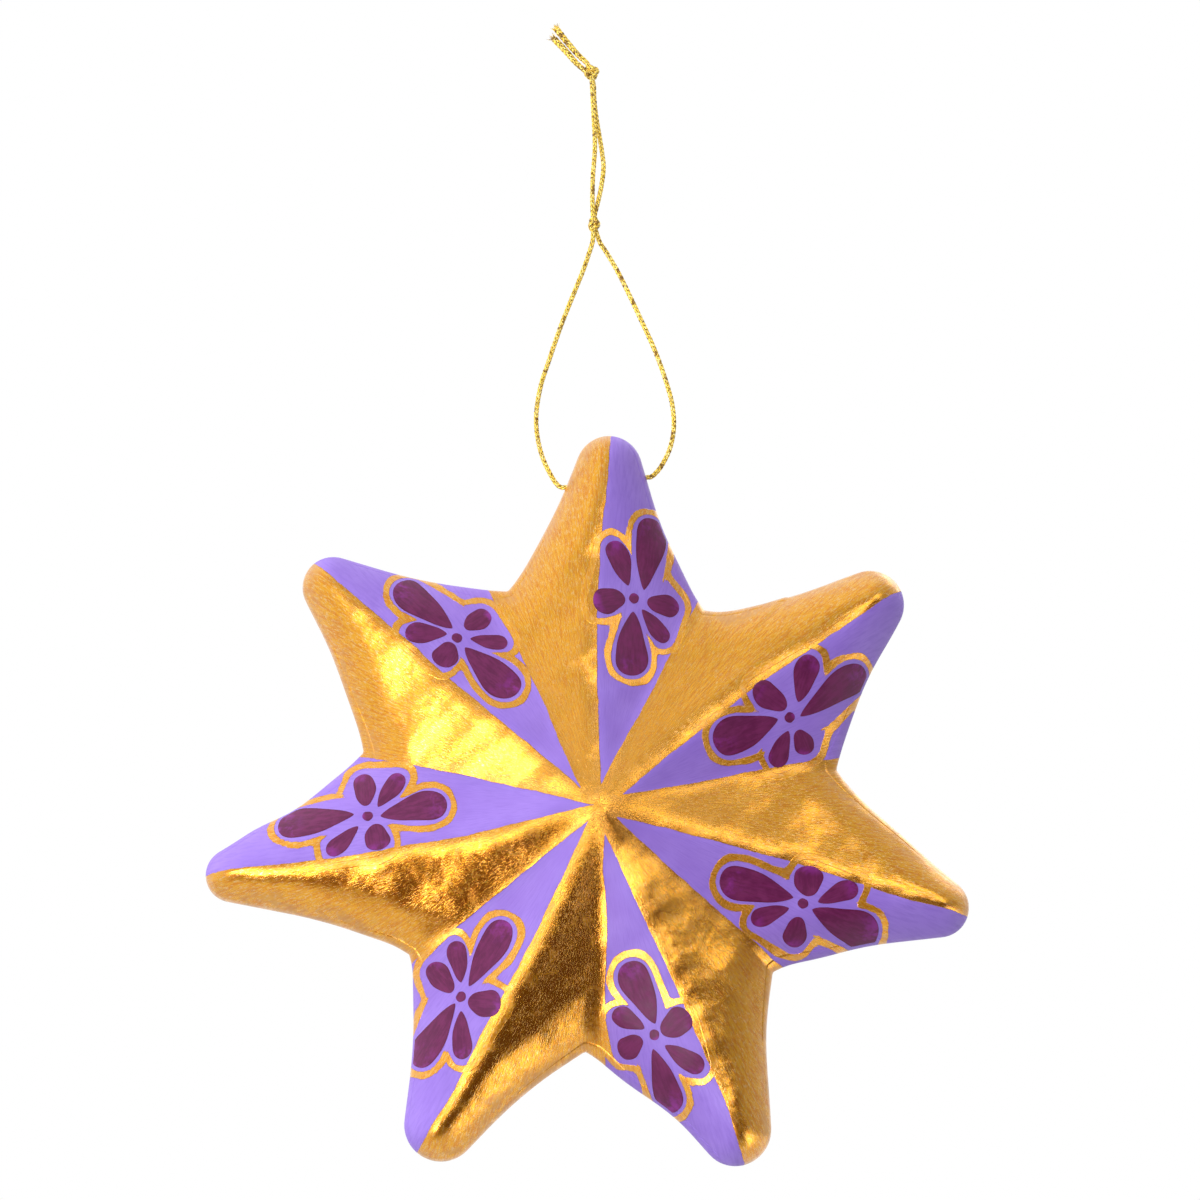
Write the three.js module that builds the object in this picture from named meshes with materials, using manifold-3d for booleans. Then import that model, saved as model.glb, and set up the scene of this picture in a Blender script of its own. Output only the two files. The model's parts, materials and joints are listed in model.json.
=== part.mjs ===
// Papier mache star ornament: two hollow moulded half shells, the paper strip pasted over their joint,
// and the knotted metallic cord that is threaded through the star's top arm.
// Millimetres, +Z up, the painted face towards -Y. The origin is the hang point, inside the small loop
// that the cord forms between its two knots.
import * as THREE from 'three';
import { mergeVertices } from 'three/addons/utils/BufferGeometryUtils.js';
import Module from 'manifold-3d';

const wasm = await Module();
wasm.setup();

// Star: its size, and the relief of one face
const STAR_RADIUS = 63.5;
const APEX_HEIGHT = 17;
const RIDGE_FALL = 0.155;     // height lost for each millimetre away from the apex
const FLANK_FALL = 0.45;      // height lost for each millimetre sideways off an arm's ridge
const CREST_RADIUS = 1.4;     // rounding of the ridges
const VALLEY_BLEND = 0.45;    // rounding of the valleys
const RIM_ROLL = 6.5;         // width of the band that turns over into the rim
const NOTCH_BLEND = 13;       // width over which two arms flow into each other at the outline
const WALL = 2.5;

// Arms and notches clockwise from the top: bearings in degrees, and reaches as shares of the star's radius.
// The star is hand made, so no two arms are alike. A notch's reach is to the corner before it is rounded.
const ARMS = [
  { bearing: 1.5, reach: 1, tipRadius: 5.5 },
  { bearing: 52, reach: 0.984, tipRadius: 5.4 },
  { bearing: 105.5, reach: 0.992, tipRadius: 4.8 },
  { bearing: 157, reach: 0.984, tipRadius: 5.8 },
  { bearing: 207, reach: 1, tipRadius: 6 },
  { bearing: 260.5, reach: 1.039, tipRadius: 4.4 },
  { bearing: 310.5, reach: 1, tipRadius: 5.1 },
];
const NOTCHES = [
  { bearing: 27, reach: 0.559 },
  { bearing: 79.5, reach: 0.591 },
  { bearing: 133, reach: 0.575 },
  { bearing: 184, reach: 0.583 },
  { bearing: 233.5, reach: 0.583 },
  { bearing: 284.5, reach: 0.606 },
  { bearing: 338, reach: 0.606 },
];

// Joint between the half shells
const SEAM_GAP = 0.3;
const STRIP_HALF_WIDTH = 2.8;
const STRIP_THICKNESS = 0.6;
const STRIP_CLEARANCE = 0.3;

// Cord, and the pair of holes that it runs through. The star hangs from the middle of the crossing.
const CORD_DIAMETER = 0.8;
const HOLE_DIAMETER = 2.4;
const CROSSING_X = 1.95;
const CROSSING_Z = -57.57;
const HOLE_FROM_TIP = 7.65;   // from the top arm's tip to the middle of the crossing
const CROSSING_TILT = 7;      // degrees, the right-hand hole being the higher one
const CORD_GAP = 0.3;         // between one stretch of the cord and the next
const LOWER_KNOT = { at: [-0.5, 0, -13.5], radius: 1, halfHeight: 1.35 };
const UPPER_KNOT = { at: [-0.95, 0, 12.7], radius: 1.4, halfHeight: 1.3 };

// Free stretches of the cord, as chosen points [x, y, z]. The legs start at the mouths of the holes.
const LEG_LEFT = [
  [-6.15, 0, -58.4], [-6.9, 0, -57.7], [-7.6, 0, -56.6], [-8.9, 0, -53.95], [-9.85, 0, -50.6], [-10.2, 0, -46.6],
  [-9.5, 0, -41.5], [-7.9, 0, -36.4], [-6, 0, -30.8], [-3.9, 0, -25.4], [-2.4, 0, -21.6], [-1.3, -0.1, -18.4],
  [-0.75, -0.4, -16.6], [-0.65, -0.6, -15.3],
];
const LEG_RIGHT = [
  [9.1, 0, -56.65], [9.95, 0, -55.9], [10.85, 0, -54.7], [12.2, 0, -51.85], [12.85, 0, -48.4], [12.6, 0, -44.4],
  [11.3, 0, -39.6], [9.6, 0, -34.9], [7.6, 0, -30.4], [5.4, 0, -25.6], [3.5, 0, -21.7], [1.55, 0.1, -18.3],
  [0.5, 0.4, -16.6], [0.05, 0.6, -15.3],
];
const STRAND_LEFT = [
  [-0.7, -0.56, -11.8], [-0.78, -0.4, -9.4], [-0.76, -0.1, -7.4], [-0.68, 0, -5], [-0.5, -0.1, -2.8],
  [-0.38, -0.4, -0.8], [-0.38, -0.56, 1.2], [-0.55, -0.56, 4.6], [-0.72, -0.56, 8], [-0.87, -0.56, 11],
];
const STRAND_RIGHT = [
  [-0.4, 0.56, -11.8], [0.2, 0.4, -9.4], [0.75, 0.1, -6.8], [1.1, 0, -3.6], [0.85, 0.2, -1.2],
  [0.5, 0.5, 1.2], [0.1, 0.56, 3.6], [-0.26, 0.56, 6], [-0.48, 0.56, 8.4], [-0.63, 0.56, 11],
];
const TAIL_UPPER = [[-1.8, 0, 14.42], [-2.85, 0, 15.4], [-4.15, 0, 16.85], [-5.5, 0, 18.5], [-6.75, 0, 20.1]];
const TAIL_LOWER = [[-2.78, 0, 13.65], [-3.72, 0, 14.55], [-4.95, 0, 16], [-6.2, 0, 17.4], [-7.25, 0, 18.5]];

// Fineness of the solids
const BEARINGS_PER_FLANK = 7;
const BEARING_CROWDING = 1.5; // power that draws the bearings towards the ridges
const ROLL_STEPS = 4;
const FACE_STEPS = 4;
const CAVITY_ROLL_STEPS = 3;
const CAVITY_FACE_STEPS = 3;
const STRIP_STEPS = 2;
const HOLE_SIDES = 12;
const CORD_SIDES = 8;
const CORD_STEP = 3;          // along a cord, in diameters
const KNOT_SIDES = 12;
const HALVINGS = 40;
const MERGE_DISTANCE = 1e-4;

const radians = THREE.MathUtils.degToRad;
const polar = (bearing, reach) => new THREE.Vector2(
  reach * Math.sin(radians(bearing)),
  reach * Math.cos(radians(bearing)),
);

// Finds where a falling function of one number passes zero, by halving
function fallsToZero(f, low, high) {
  for (let i = 0; i < HALVINGS; i++) {
    const middle = (low + high) / 2;
    if (f(middle) > 0) low = middle;
    else high = middle;
  }
  return (low + high) / 2;
}

// One arm in plan: a round tip, and a straight side from each neighbouring notch that meets it as a tangent
function makeArm(arm, notchBefore, notchAfter) {
  const centre = polar(arm.bearing, arm.reach * STAR_RADIUS - arm.tipRadius);
  const axis = polar(arm.bearing, 1);
  const sideNormal = (notch, sign) => {
    const corner = polar(notch.bearing, notch.reach * STAR_RADIUS);
    const toCorner = corner.sub(centre);
    const lean = Math.acos(arm.tipRadius / toCorner.length());
    const angle = toCorner.angle() + sign * lean;
    return new THREE.Vector2(Math.cos(angle), Math.sin(angle));
  };
  return {
    centre,
    axis,
    tipRadius: arm.tipRadius,
    before: sideNormal(notchBefore, -1),
    after: sideNormal(notchAfter, 1),
  };
}

const arms = ARMS.map((arm, i) => {
  const notchBefore = NOTCHES[(i + NOTCHES.length - 1) % NOTCHES.length];
  return makeArm(arm, notchBefore, NOTCHES[i]);
});

// Distance in plan from a point to one arm's outline, positive inside it
function distanceInArm(point, arm) {
  const v = point.clone().sub(arm.centre);
  const insideBefore = v.cross(arm.before) >= 0;
  const insideAfter = v.cross(arm.after) <= 0;
  const beyondTip = insideBefore && insideAfter && v.dot(arm.axis) > 0;
  const reach = beyondTip ? v.length() : Math.max(v.dot(arm.before), v.dot(arm.after));
  return arm.tipRadius - reach;
}

// Distance in plan from a point to the star's outline: the two best arms flow into each other at a notch
function distanceInside(point) {
  const facing = arms.filter((arm) => point.dot(arm.axis) >= 0);
  const sorted = facing.map((arm) => distanceInArm(point, arm)).sort((a, b) => b - a);
  const overlap = Math.max(NOTCH_BLEND - (sorted[0] - sorted[1]), 0);
  return sorted[0] + overlap ** 2 / (8 * NOTCH_BLEND);
}

// Height of the relief above the seam before the rim turns over: the roofs over all arms, softly joined
function roofHeight(point) {
  const radius = point.length();
  let sum = 0;
  for (const arm of arms) {
    const along = point.dot(arm.axis);
    const across = along > 0 ? Math.abs(point.cross(arm.axis)) : radius;
    const drop = Math.hypot(across, CREST_RADIUS) - CREST_RADIUS;
    sum += Math.exp((-RIDGE_FALL * radius - FLANK_FALL * drop) / VALLEY_BLEND);
  }
  const crown = Math.log(arms.length);
  return APEX_HEIGHT + VALLEY_BLEND * (Math.log(sum) - crown * Math.exp(-radius));
}

// The roll at the rim is a quarter of an ellipse over a band of the given width
function rollFactor(distance, width) {
  const inwards = Math.min(Math.max(distance / width, 0), 1);
  return Math.sqrt(1 - (1 - inwards) ** 2);
}

const outerHeight = (point) => roofHeight(point) * rollFactor(distanceInside(point), RIM_ROLL);

// The wall is measured square to the surface, so on the sloping flanks it is deeper than it is thick
const WALL_DEPTH = WALL * Math.hypot(1, FLANK_FALL);
const CAVITY_ROLL = RIM_ROLL - WALL;
const cavityHeight = (point) =>
  (roofHeight(point) - WALL_DEPTH) * rollFactor(distanceInside(point) - WALL, CAVITY_ROLL);

// Bearings all round, closest together at the ridges, where the tips and crests need them
function allBearings() {
  const list = [];
  ARMS.forEach((arm, i) => {
    const notch = NOTCHES[i].bearing;
    const next = i + 1 < ARMS.length ? ARMS[i + 1].bearing : ARMS[0].bearing + 360;
    for (let k = 0; k < BEARINGS_PER_FLANK; k++) {
      list.push(arm.bearing + (notch - arm.bearing) * (k / BEARINGS_PER_FLANK) ** BEARING_CROWDING);
    }
    for (let k = BEARINGS_PER_FLANK; k > 0; k--) {
      list.push(next - (next - notch) * (k / BEARINGS_PER_FLANK) ** BEARING_CROWDING);
    }
  });
  return list;
}

const bearings = allBearings();
const LONGEST_REACH = Math.max(...ARMS.map((arm) => arm.reach)) * STAR_RADIUS + 1;

// How far out along a bearing the outline is still a given distance away
const reachAtDistance = (bearing, distance) =>
  fallsToZero((reach) => distanceInside(polar(bearing, reach)) - distance, RIM_ROLL, LONGEST_REACH);

// How far out along a bearing the outer surface falls to a given height above the seam
function reachAtHeight(bearing, height) {
  const inner = reachAtDistance(bearing, RIM_ROLL);
  const outer = reachAtDistance(bearing, 0);
  return fallsToZero((reach) => outerHeight(polar(bearing, reach)) - height, inner, outer);
}

// Joins rings of points, each as long as the list of bearings, into a closed skin.
// A ring with a single point closes the skin to a fan, and closeRound joins the last ring to the first.
function skinFromRings(rings, closeRound) {
  const positions = [];
  const starts = rings.map((ring) => {
    const start = positions.length / 3;
    ring.forEach((p) => positions.push(p.x, p.y, p.z));
    return start;
  });
  const indices = [];
  const count = closeRound ? rings.length : rings.length - 1;
  for (let r = 0; r < count; r++) {
    const here = rings[r];
    const there = rings[(r + 1) % rings.length];
    const a = starts[r];
    const b = starts[(r + 1) % rings.length];
    const turns = Math.max(here.length, there.length);
    for (let k = 0; k < turns; k++) {
      const n = (k + 1) % turns;
      if (here.length === 1) indices.push(a, b + k, b + n);
      else if (there.length === 1) indices.push(a + k, b, a + n);
      else indices.push(a + k, b + k, b + n, a + k, b + n, a + n);
    }
  }
  const geometry = new THREE.BufferGeometry();
  geometry.setAttribute('position', new THREE.Float32BufferAttribute(positions, 3));
  geometry.setIndex(indices);
  return geometry;
}

// side is -1 for the front face and 1 for the back
const place = (plan, height, side) => new THREE.Vector3(plan.x, side * height, plan.y);

const ringAt = (side, reachOf, heightOf) => bearings.map((bearing) => {
  const plan = polar(bearing, reachOf(bearing));
  return place(plan, heightOf(plan, bearing), side);
});

// Outer surface points of the rim from the equator up to the strip's edge, drawn in towards the star by inset
function bandRing(side, height, inset) {
  return bearings.map((bearing) => {
    const reach = reachAtHeight(bearing, height);
    const distance = distanceInside(polar(bearing, reach)) + inset;
    return place(polar(bearing, reachAtDistance(bearing, distance)), height, side);
  });
}

// A half shell: outer face, ledge and rebate for the strip, flat seam face, then the cavity
function halfShell(side) {
  const seam = SEAM_GAP / 2;
  const rebate = STRIP_THICKNESS + STRIP_CLEARANCE;
  const ledge = STRIP_HALF_WIDTH + STRIP_CLEARANCE;
  const rings = [[place(new THREE.Vector2(0, 0), outerHeight(new THREE.Vector2(0, 0)), side)]];
  for (let k = 1; k <= FACE_STEPS; k++) {
    const share = k / FACE_STEPS;
    rings.push(ringAt(side, (b) => share * reachAtDistance(b, RIM_ROLL), (p) => outerHeight(p)));
  }
  for (let k = ROLL_STEPS - 1; k > 0; k--) {
    const fraction = k / ROLL_STEPS;
    rings.push(ringAt(
      side,
      (b) => {
        const edge = distanceInside(polar(b, reachAtHeight(b, ledge)));
        return reachAtDistance(b, edge + (RIM_ROLL - edge) * (1 - Math.cos(fraction * Math.PI / 2)));
      },
      (p) => outerHeight(p),
    ));
  }
  rings.push(bandRing(side, ledge, 0));
  rings.push(bandRing(side, ledge, rebate));
  for (let k = STRIP_STEPS - 1; k >= 0; k--) {
    rings.push(bandRing(side, seam + (ledge - seam) * k / STRIP_STEPS, rebate));
  }
  for (let k = 0; k <= CAVITY_ROLL_STEPS; k++) {
    const inwards = CAVITY_ROLL * (1 - Math.cos(k / CAVITY_ROLL_STEPS * Math.PI / 2));
    rings.push(ringAt(
      side,
      (b) => reachAtDistance(b, WALL + inwards),
      (p) => Math.max(cavityHeight(p), seam),
    ));
  }
  for (let k = CAVITY_FACE_STEPS - 1; k > 0; k--) {
    const share = k / CAVITY_FACE_STEPS;
    rings.push(ringAt(side, (b) => share * reachAtDistance(b, RIM_ROLL), (p) => cavityHeight(p)));
  }
  rings.push([place(new THREE.Vector2(0, 0), cavityHeight(new THREE.Vector2(0, 0)), side)]);
  return skinFromRings(side > 0 ? rings : rings.reverse(), false);
}

// The paper strip over the joint: a thin band that follows the rim, its outer face flush with the shells
function seamStrip() {
  const rings = [];
  const levels = [];
  for (let k = -STRIP_STEPS; k <= STRIP_STEPS; k++) levels.push(STRIP_HALF_WIDTH * k / STRIP_STEPS);
  for (const level of levels) rings.push(bandRing(Math.sign(level) || 1, Math.abs(level), 0));
  for (const level of levels.toReversed()) {
    rings.push(bandRing(Math.sign(level) || 1, Math.abs(level), STRIP_THICKNESS));
  }
  return skinFromRings(rings.reverse(), true);
}

function toSolid(geometry) {
  const bare = geometry.clone();
  bare.deleteAttribute('normal');
  bare.deleteAttribute('uv');
  const merged = mergeVertices(bare, MERGE_DISTANCE);
  return new wasm.Manifold(new wasm.Mesh({
    numProp: 3,
    vertProperties: new Float32Array(merged.attributes.position.array),
    triVerts: new Uint32Array(merged.index.array),
  }));
}

function fromSolid(solid) {
  const mesh = solid.getMesh();
  const geometry = new THREE.BufferGeometry();
  geometry.setAttribute('position', new THREE.Float32BufferAttribute(mesh.vertProperties, 3));
  geometry.setIndex([...mesh.triVerts]);
  return geometry;
}

// The crossing: a straight line through the top arm, in the star's own plan
const crossingMiddle = polar(ARMS[0].bearing, ARMS[0].reach * STAR_RADIUS - HOLE_FROM_TIP);
const crossingLine = new THREE.Vector2(Math.cos(radians(CROSSING_TILT)), Math.sin(radians(CROSSING_TILT)));
const onCrossing = (distance) => crossingMiddle.clone().addScaledVector(crossingLine, distance);
const CLEAR_OF_ARM = 3 * HOLE_FROM_TIP;
const leftMouth = -fallsToZero((s) => distanceInside(onCrossing(-s)), 0, CLEAR_OF_ARM);
const rightMouth = fallsToZero((s) => distanceInside(onCrossing(s)), 0, CLEAR_OF_ARM);

// Where the star's own plan lies in the ornament's frame
const apex = new THREE.Vector2(CROSSING_X, CROSSING_Z).sub(crossingMiddle);
const mouthPoint = (distance) => {
  const plan = onCrossing(distance).add(apex);
  return [plan.x, 0, plan.y];
};

// A rod of the given diameter along the crossing, from start to end in distance from its middle
function crossingRod(diameter, start, end, sides) {
  const rod = new THREE.CylinderGeometry(diameter / 2, diameter / 2, end - start, sides);
  rod.rotateZ(-Math.PI / 2);
  rod.rotateY(-radians(CROSSING_TILT));
  const middle = onCrossing((start + end) / 2);
  rod.translate(middle.x, 0, middle.y);
  return rod;
}

const piercing = toSolid(crossingRod(HOLE_DIAMETER, -CLEAR_OF_ARM, CLEAR_OF_ARM, HOLE_SIDES));
const pierced = (geometry) => fromSolid(toSolid(geometry).subtract(piercing));

const cordSection = new THREE.Shape(Array.from({ length: CORD_SIDES }, (_, k) => {
  const angle = 2 * Math.PI * (k + 0.5) / CORD_SIDES;
  return new THREE.Vector2(CORD_DIAMETER / 2 * Math.cos(angle), CORD_DIAMETER / 2 * Math.sin(angle));
}));

// A free stretch of cord along its chosen points
function cordTube(points) {
  const curve = new THREE.CatmullRomCurve3(points.map((p) => new THREE.Vector3(...p)));
  const steps = Math.max(4, Math.round(curve.getLength() / (CORD_STEP * CORD_DIAMETER)));
  return new THREE.ExtrudeGeometry(cordSection, { steps, extrudePath: curve, bevelEnabled: false });
}

// A pulled-tight overhand knot, as a barrel with a slight waist
function knotBody(knot) {
  const { radius, halfHeight } = knot;
  const outline = [[0, -1], [0.72, -0.86], [1, -0.4], [0.9, 0], [1, 0.4], [0.72, 0.86], [0, 1]];
  const profile = outline.map(([r, h]) => new THREE.Vector2(r * radius, h * halfHeight));
  const body = new THREE.LatheGeometry(profile, KNOT_SIDES);
  body.rotateX(Math.PI / 2);
  return body;
}

const finish = (color, roughness, metalness) =>
  new THREE.MeshStandardMaterial({ color, roughness, metalness });
const paintedPaper = () => finish(0xc9a040, 0.45, 0.4);
const lilacPaper = () => finish(0x9a76dc, 0.75, 0);
const goldCord = () => finish(0xe3b341, 0.3, 0.85);

function addMesh(parent, name, geometry, material) {
  const mesh = new THREE.Mesh(geometry, material);
  mesh.name = name;
  parent.add(mesh);
  return mesh;
}

const ornament = new THREE.Group();

const star = new THREE.Group();
star.position.set(apex.x, 0, apex.y);
ornament.add(star);
addMesh(star, 'front_shell', pierced(halfShell(-1)), paintedPaper());
addMesh(star, 'back_shell', pierced(halfShell(1)), paintedPaper());
addMesh(star, 'seam_strip', pierced(seamStrip()), lilacPaper());
addMesh(
  star,
  'cord_crossing',
  crossingRod(CORD_DIAMETER, leftMouth + CORD_GAP, rightMouth - CORD_GAP, CORD_SIDES),
  goldCord(),
);

const stretches = {
  cord_leg_left: [mouthPoint(leftMouth), ...LEG_LEFT],
  cord_leg_right: [mouthPoint(rightMouth), ...LEG_RIGHT],
  cord_strand_left: STRAND_LEFT,
  cord_strand_right: STRAND_RIGHT,
  cord_tail_upper: TAIL_UPPER,
  cord_tail_lower: TAIL_LOWER,
};
for (const [name, points] of Object.entries(stretches)) addMesh(ornament, name, cordTube(points), goldCord());

addMesh(ornament, 'knot_lower', knotBody(LOWER_KNOT), goldCord()).position.set(...LOWER_KNOT.at);
addMesh(ornament, 'knot_upper', knotBody(UPPER_KNOT), goldCord()).position.set(...UPPER_KNOT.at);

export default ornament;
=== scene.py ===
"""Papier mache star ornament: a painted, ridged, seven-armed star on a knotted loop of metallic cord.

Shapes are worked out in millimetres in the part's frame, with +Z up and the painted front face towards -Y,
and are put into their meshes in metres. The star's own plan has its origin under the apex, x to the right and
z up as seen from the front. Bearings run clockwise from the top arm.
"""

import json
import math

import bpy
import numpy as np
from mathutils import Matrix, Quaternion, Vector
from mathutils.geometry import convex_hull_2d

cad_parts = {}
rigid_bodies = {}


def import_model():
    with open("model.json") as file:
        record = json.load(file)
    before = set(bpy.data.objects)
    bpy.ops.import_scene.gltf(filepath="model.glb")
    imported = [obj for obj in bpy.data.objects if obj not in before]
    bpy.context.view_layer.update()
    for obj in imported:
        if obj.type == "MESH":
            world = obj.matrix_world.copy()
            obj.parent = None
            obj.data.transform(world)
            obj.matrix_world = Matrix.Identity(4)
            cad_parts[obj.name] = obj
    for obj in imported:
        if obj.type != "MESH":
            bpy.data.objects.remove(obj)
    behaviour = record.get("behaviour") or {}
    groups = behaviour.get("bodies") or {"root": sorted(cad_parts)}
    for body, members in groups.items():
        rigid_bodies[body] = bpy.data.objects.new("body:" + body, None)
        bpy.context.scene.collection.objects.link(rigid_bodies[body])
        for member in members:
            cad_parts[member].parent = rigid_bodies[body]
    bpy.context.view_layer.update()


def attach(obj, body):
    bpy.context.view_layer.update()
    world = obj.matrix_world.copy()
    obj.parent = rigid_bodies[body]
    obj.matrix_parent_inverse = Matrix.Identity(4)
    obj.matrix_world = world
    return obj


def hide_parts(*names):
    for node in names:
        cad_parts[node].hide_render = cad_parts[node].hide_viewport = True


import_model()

METRES = 0.001

# Camera: it looks up at the ornament from a little below, through a long lens
CAMERA_AIM = (0.5, 0.0, -77.5)
CAMERA_ELEVATION = -8.5
CAMERA_DISTANCE = 900.0
CAMERA_LENS = 162.0
CAMERA_SENSOR = 36.0

# Cord, on the route that the solids have. Its points were read off the photograph by eye, turned into
# millimetres by a separate program, rounded and adjusted. The star hangs from the middle of the crossing.
CROSSING_X = 1.95
CROSSING_Z = -57.57
CROSSING_TILT = 7.0
HOLE_DIAMETER = 2.4
HOLE_SIDES = 28
ROD_REACH = 14.0
HOLE_FROM_TIP = 7.65
MOUTH_LEFT = (-5.5, 0, -58.48)
MOUTH_RIGHT = (8.4, 0, -56.78)
LEG_LEFT = [
    (-6.15, 0, -58.4), (-6.9, 0, -57.7), (-7.6, 0, -56.6), (-8.9, 0, -53.95), (-9.85, 0, -50.6),
    (-10.2, 0, -46.6), (-9.5, 0, -41.5), (-7.9, 0, -36.4), (-6, 0, -30.8), (-3.9, 0, -25.4),
    (-2.4, 0, -21.6), (-1.3, -0.1, -18.4), (-0.75, -0.4, -16.6), (-0.65, -0.6, -15.3),
]
LEG_RIGHT = [
    (9.1, 0, -56.65), (9.95, 0, -55.9), (10.85, 0, -54.7), (12.2, 0, -51.85), (12.85, 0, -48.4),
    (12.6, 0, -44.4), (11.3, 0, -39.6), (9.6, 0, -34.9), (7.6, 0, -30.4), (5.4, 0, -25.6),
    (3.5, 0, -21.7), (1.55, 0.1, -18.3), (0.5, 0.4, -16.6), (0.05, 0.6, -15.3),
]
STRAND_LEFT = [
    (-0.7, -0.56, -11.8), (-0.78, -0.4, -9.4), (-0.76, -0.1, -7.4), (-0.68, 0, -5), (-0.5, -0.1, -2.8),
    (-0.38, -0.4, -0.8), (-0.38, -0.56, 1.2), (-0.55, -0.56, 4.6), (-0.72, -0.56, 8), (-0.87, -0.56, 11),
]
STRAND_RIGHT = [
    (-0.4, 0.56, -11.8), (0.2, 0.4, -9.4), (0.75, 0.1, -6.8), (1.1, 0, -3.6), (0.85, 0.2, -1.2),
    (0.5, 0.5, 1.2), (0.1, 0.56, 3.6), (-0.26, 0.56, 6), (-0.48, 0.56, 8.4), (-0.63, 0.56, 11),
]
TAIL_UPPER = [(-1.8, 0, 14.42), (-2.85, 0, 15.4), (-4.15, 0, 16.85), (-5.5, 0, 18.5), (-6.75, 0, 20.1)]
TAIL_LOWER = [(-2.78, 0, 13.65), (-3.72, 0, 14.55), (-4.95, 0, 16), (-6.2, 0, 17.4), (-7.25, 0, 18.5)]
LOWER_KNOT = (-0.5, 0, -13.5)
UPPER_KNOT = (-0.95, 0, 12.7)
LOWER_KNOT_FORM = {"across": 0.46, "along": 1.5, "loop": 0.2, "rise": 0.5, "lean": 0.1}
UPPER_KNOT_FORM = {"across": 0.72, "along": 1.0, "loop": 0.26, "rise": 0.62, "lean": -0.5}

# Inside the knots, where the cords run on out of sight
LEG_LEFT_IN_KNOT = [(-0.62, -0.3, -14.1)]
LEG_RIGHT_IN_KNOT = [(-0.3, 0.3, -14.1)]
STRAND_LEFT_IN_LOWER_KNOT = [(-0.6, -0.3, -13.0)]
STRAND_RIGHT_IN_LOWER_KNOT = [(-0.5, 0.3, -13.0)]
STRAND_LEFT_IN_UPPER_KNOT = [(-0.98, -0.35, 12.4), (-1.3, -0.1, 13.6)]
STRAND_RIGHT_IN_UPPER_KNOT = [(-1.15, 0.35, 12.2), (-2.0, 0.1, 13.0)]

# Knit of the cord: columns of stitches round it, length of a stitch, how far a stitch leans over its
# column's width as a share of its length, and the cord's size under and over the stitches
COLUMNS = 4
STITCH = 0.82
STITCH_LEAN = 0.85
CORE_RADIUS = 0.29
STITCH_RISE = 0.15
ROUND_CORD = 36
CORD_STEP = 0.09

# The tails have come loose, so they are thicker towards their ends
TAIL_LENGTH = 8.0
TAIL_SWELL = 0.38

# Yarns that have come loose at a cut end: how many, and the sides and steps of one
LOOSE_YARNS = 26
YARN_SIDES = 6
YARN_STEPS = 8
YARN_RADIUS = 0.11
YARN_TAPER = 0.7

# Star form, close to the solids' but with rounder ridges and notches and an uneven edge. Reaches are
# shares of the star's radius, and bearings are in degrees. The arms, their tip radii and the notches are
# rounded from a separate program's least-squares fit to the outline in the photograph. The notches and
# their blend were then changed.
STAR_RADIUS = 63.5
APEX_HEIGHT = 17.0
RIDGE_FALL = 0.155
FLANK_FALL = 0.45
CREST_HALF_WIDTH = 2.3
CREST_BEND_STARTS = 14.0
VALLEY_BLEND = 0.45
RIM_ROLL = 6.5
NOTCH_BLEND = 24.0
WALL = 2.5
SEAM_GAP = 0.3
STRIP_HALF_WIDTH = 2.8
STRIP_THICKNESS = 0.6
STRIP_LAP = 0.55
STRIP_PROUD = 0.06
ARMS = [
    {"bearing": 1.5, "reach": 1.0, "tip_radius": 5.5},
    {"bearing": 52.0, "reach": 0.984, "tip_radius": 5.4},
    {"bearing": 105.5, "reach": 0.992, "tip_radius": 4.8},
    {"bearing": 157.0, "reach": 0.984, "tip_radius": 5.8},
    {"bearing": 207.0, "reach": 1.0, "tip_radius": 6.0},
    {"bearing": 260.5, "reach": 1.039, "tip_radius": 4.4},
    {"bearing": 310.5, "reach": 1.0, "tip_radius": 5.1},
]
NOTCHES = [
    (27.0, 0.531), (79.5, 0.563), (133.0, 0.547), (184.0, 0.555), (233.5, 0.555), (284.5, 0.578),
    (338.0, 0.578),
]
# Slow swells of the hand-laid paper: how fast each wave runs across and up, its start, and its height
PAPER_WAVES = [
    (0.21, 0.3, 0.1, 0.13), (-0.17, 0.26, 1.9, 0.11), (0.42, -0.35, 0.7, 0.07), (0.13, 0.55, 2.6, 0.06),
    (-0.62, 0.31, 4.1, 0.045), (0.9, 0.75, 5.2, 0.03), (-0.8, 1.1, 3.3, 0.025),
]
# Where the hand-laid paper makes the outline stand out or draw in: plan place, how far, and how wide.
# The rows come from comparing this outline with the photograph's.
EDGE_SWELLS = np.array([
    (47.8, -5.9, 0.8, 6.0), (15.5, 31.1, 0.9, 2.0), (21.0, 30.9, -0.4, 3.5), (44.5, 33.0, 0.5, 5.0),
    (39.0, 16.5, 0.3, 5.0), (6.6, -41.9, 0.65, 4.0), (-0.4, -37.3, -0.35, 3.0), (15.5, -50.4, -0.35, 4.0),
    (29.6, -22.5, -0.5, 3.0), (36.7, -20.7, 0.3, 4.0), (25.7, -45.9, 0.35, 5.0), (-32.3, -18.9, -0.5, 3.0),
    (-28.4, -24.7, -0.45, 3.0), (-29.5, -21.0, 0.8, 1.8), (-55.8, -4.3, 0.5, 3.0), (-49.1, -0.4, -0.3, 4.0),
    (-36.1, 13.4, -0.4, 3.0), (-38.9, 6.3, -0.35, 3.0), (-11.1, 37.3, -0.5, 4.0), (-18.1, 34.2, -0.25, 3.0),
    (10.2, 40.4, 0.35, 4.0), (-39.8, 22.2, 0.25, 4.0),
])

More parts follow.
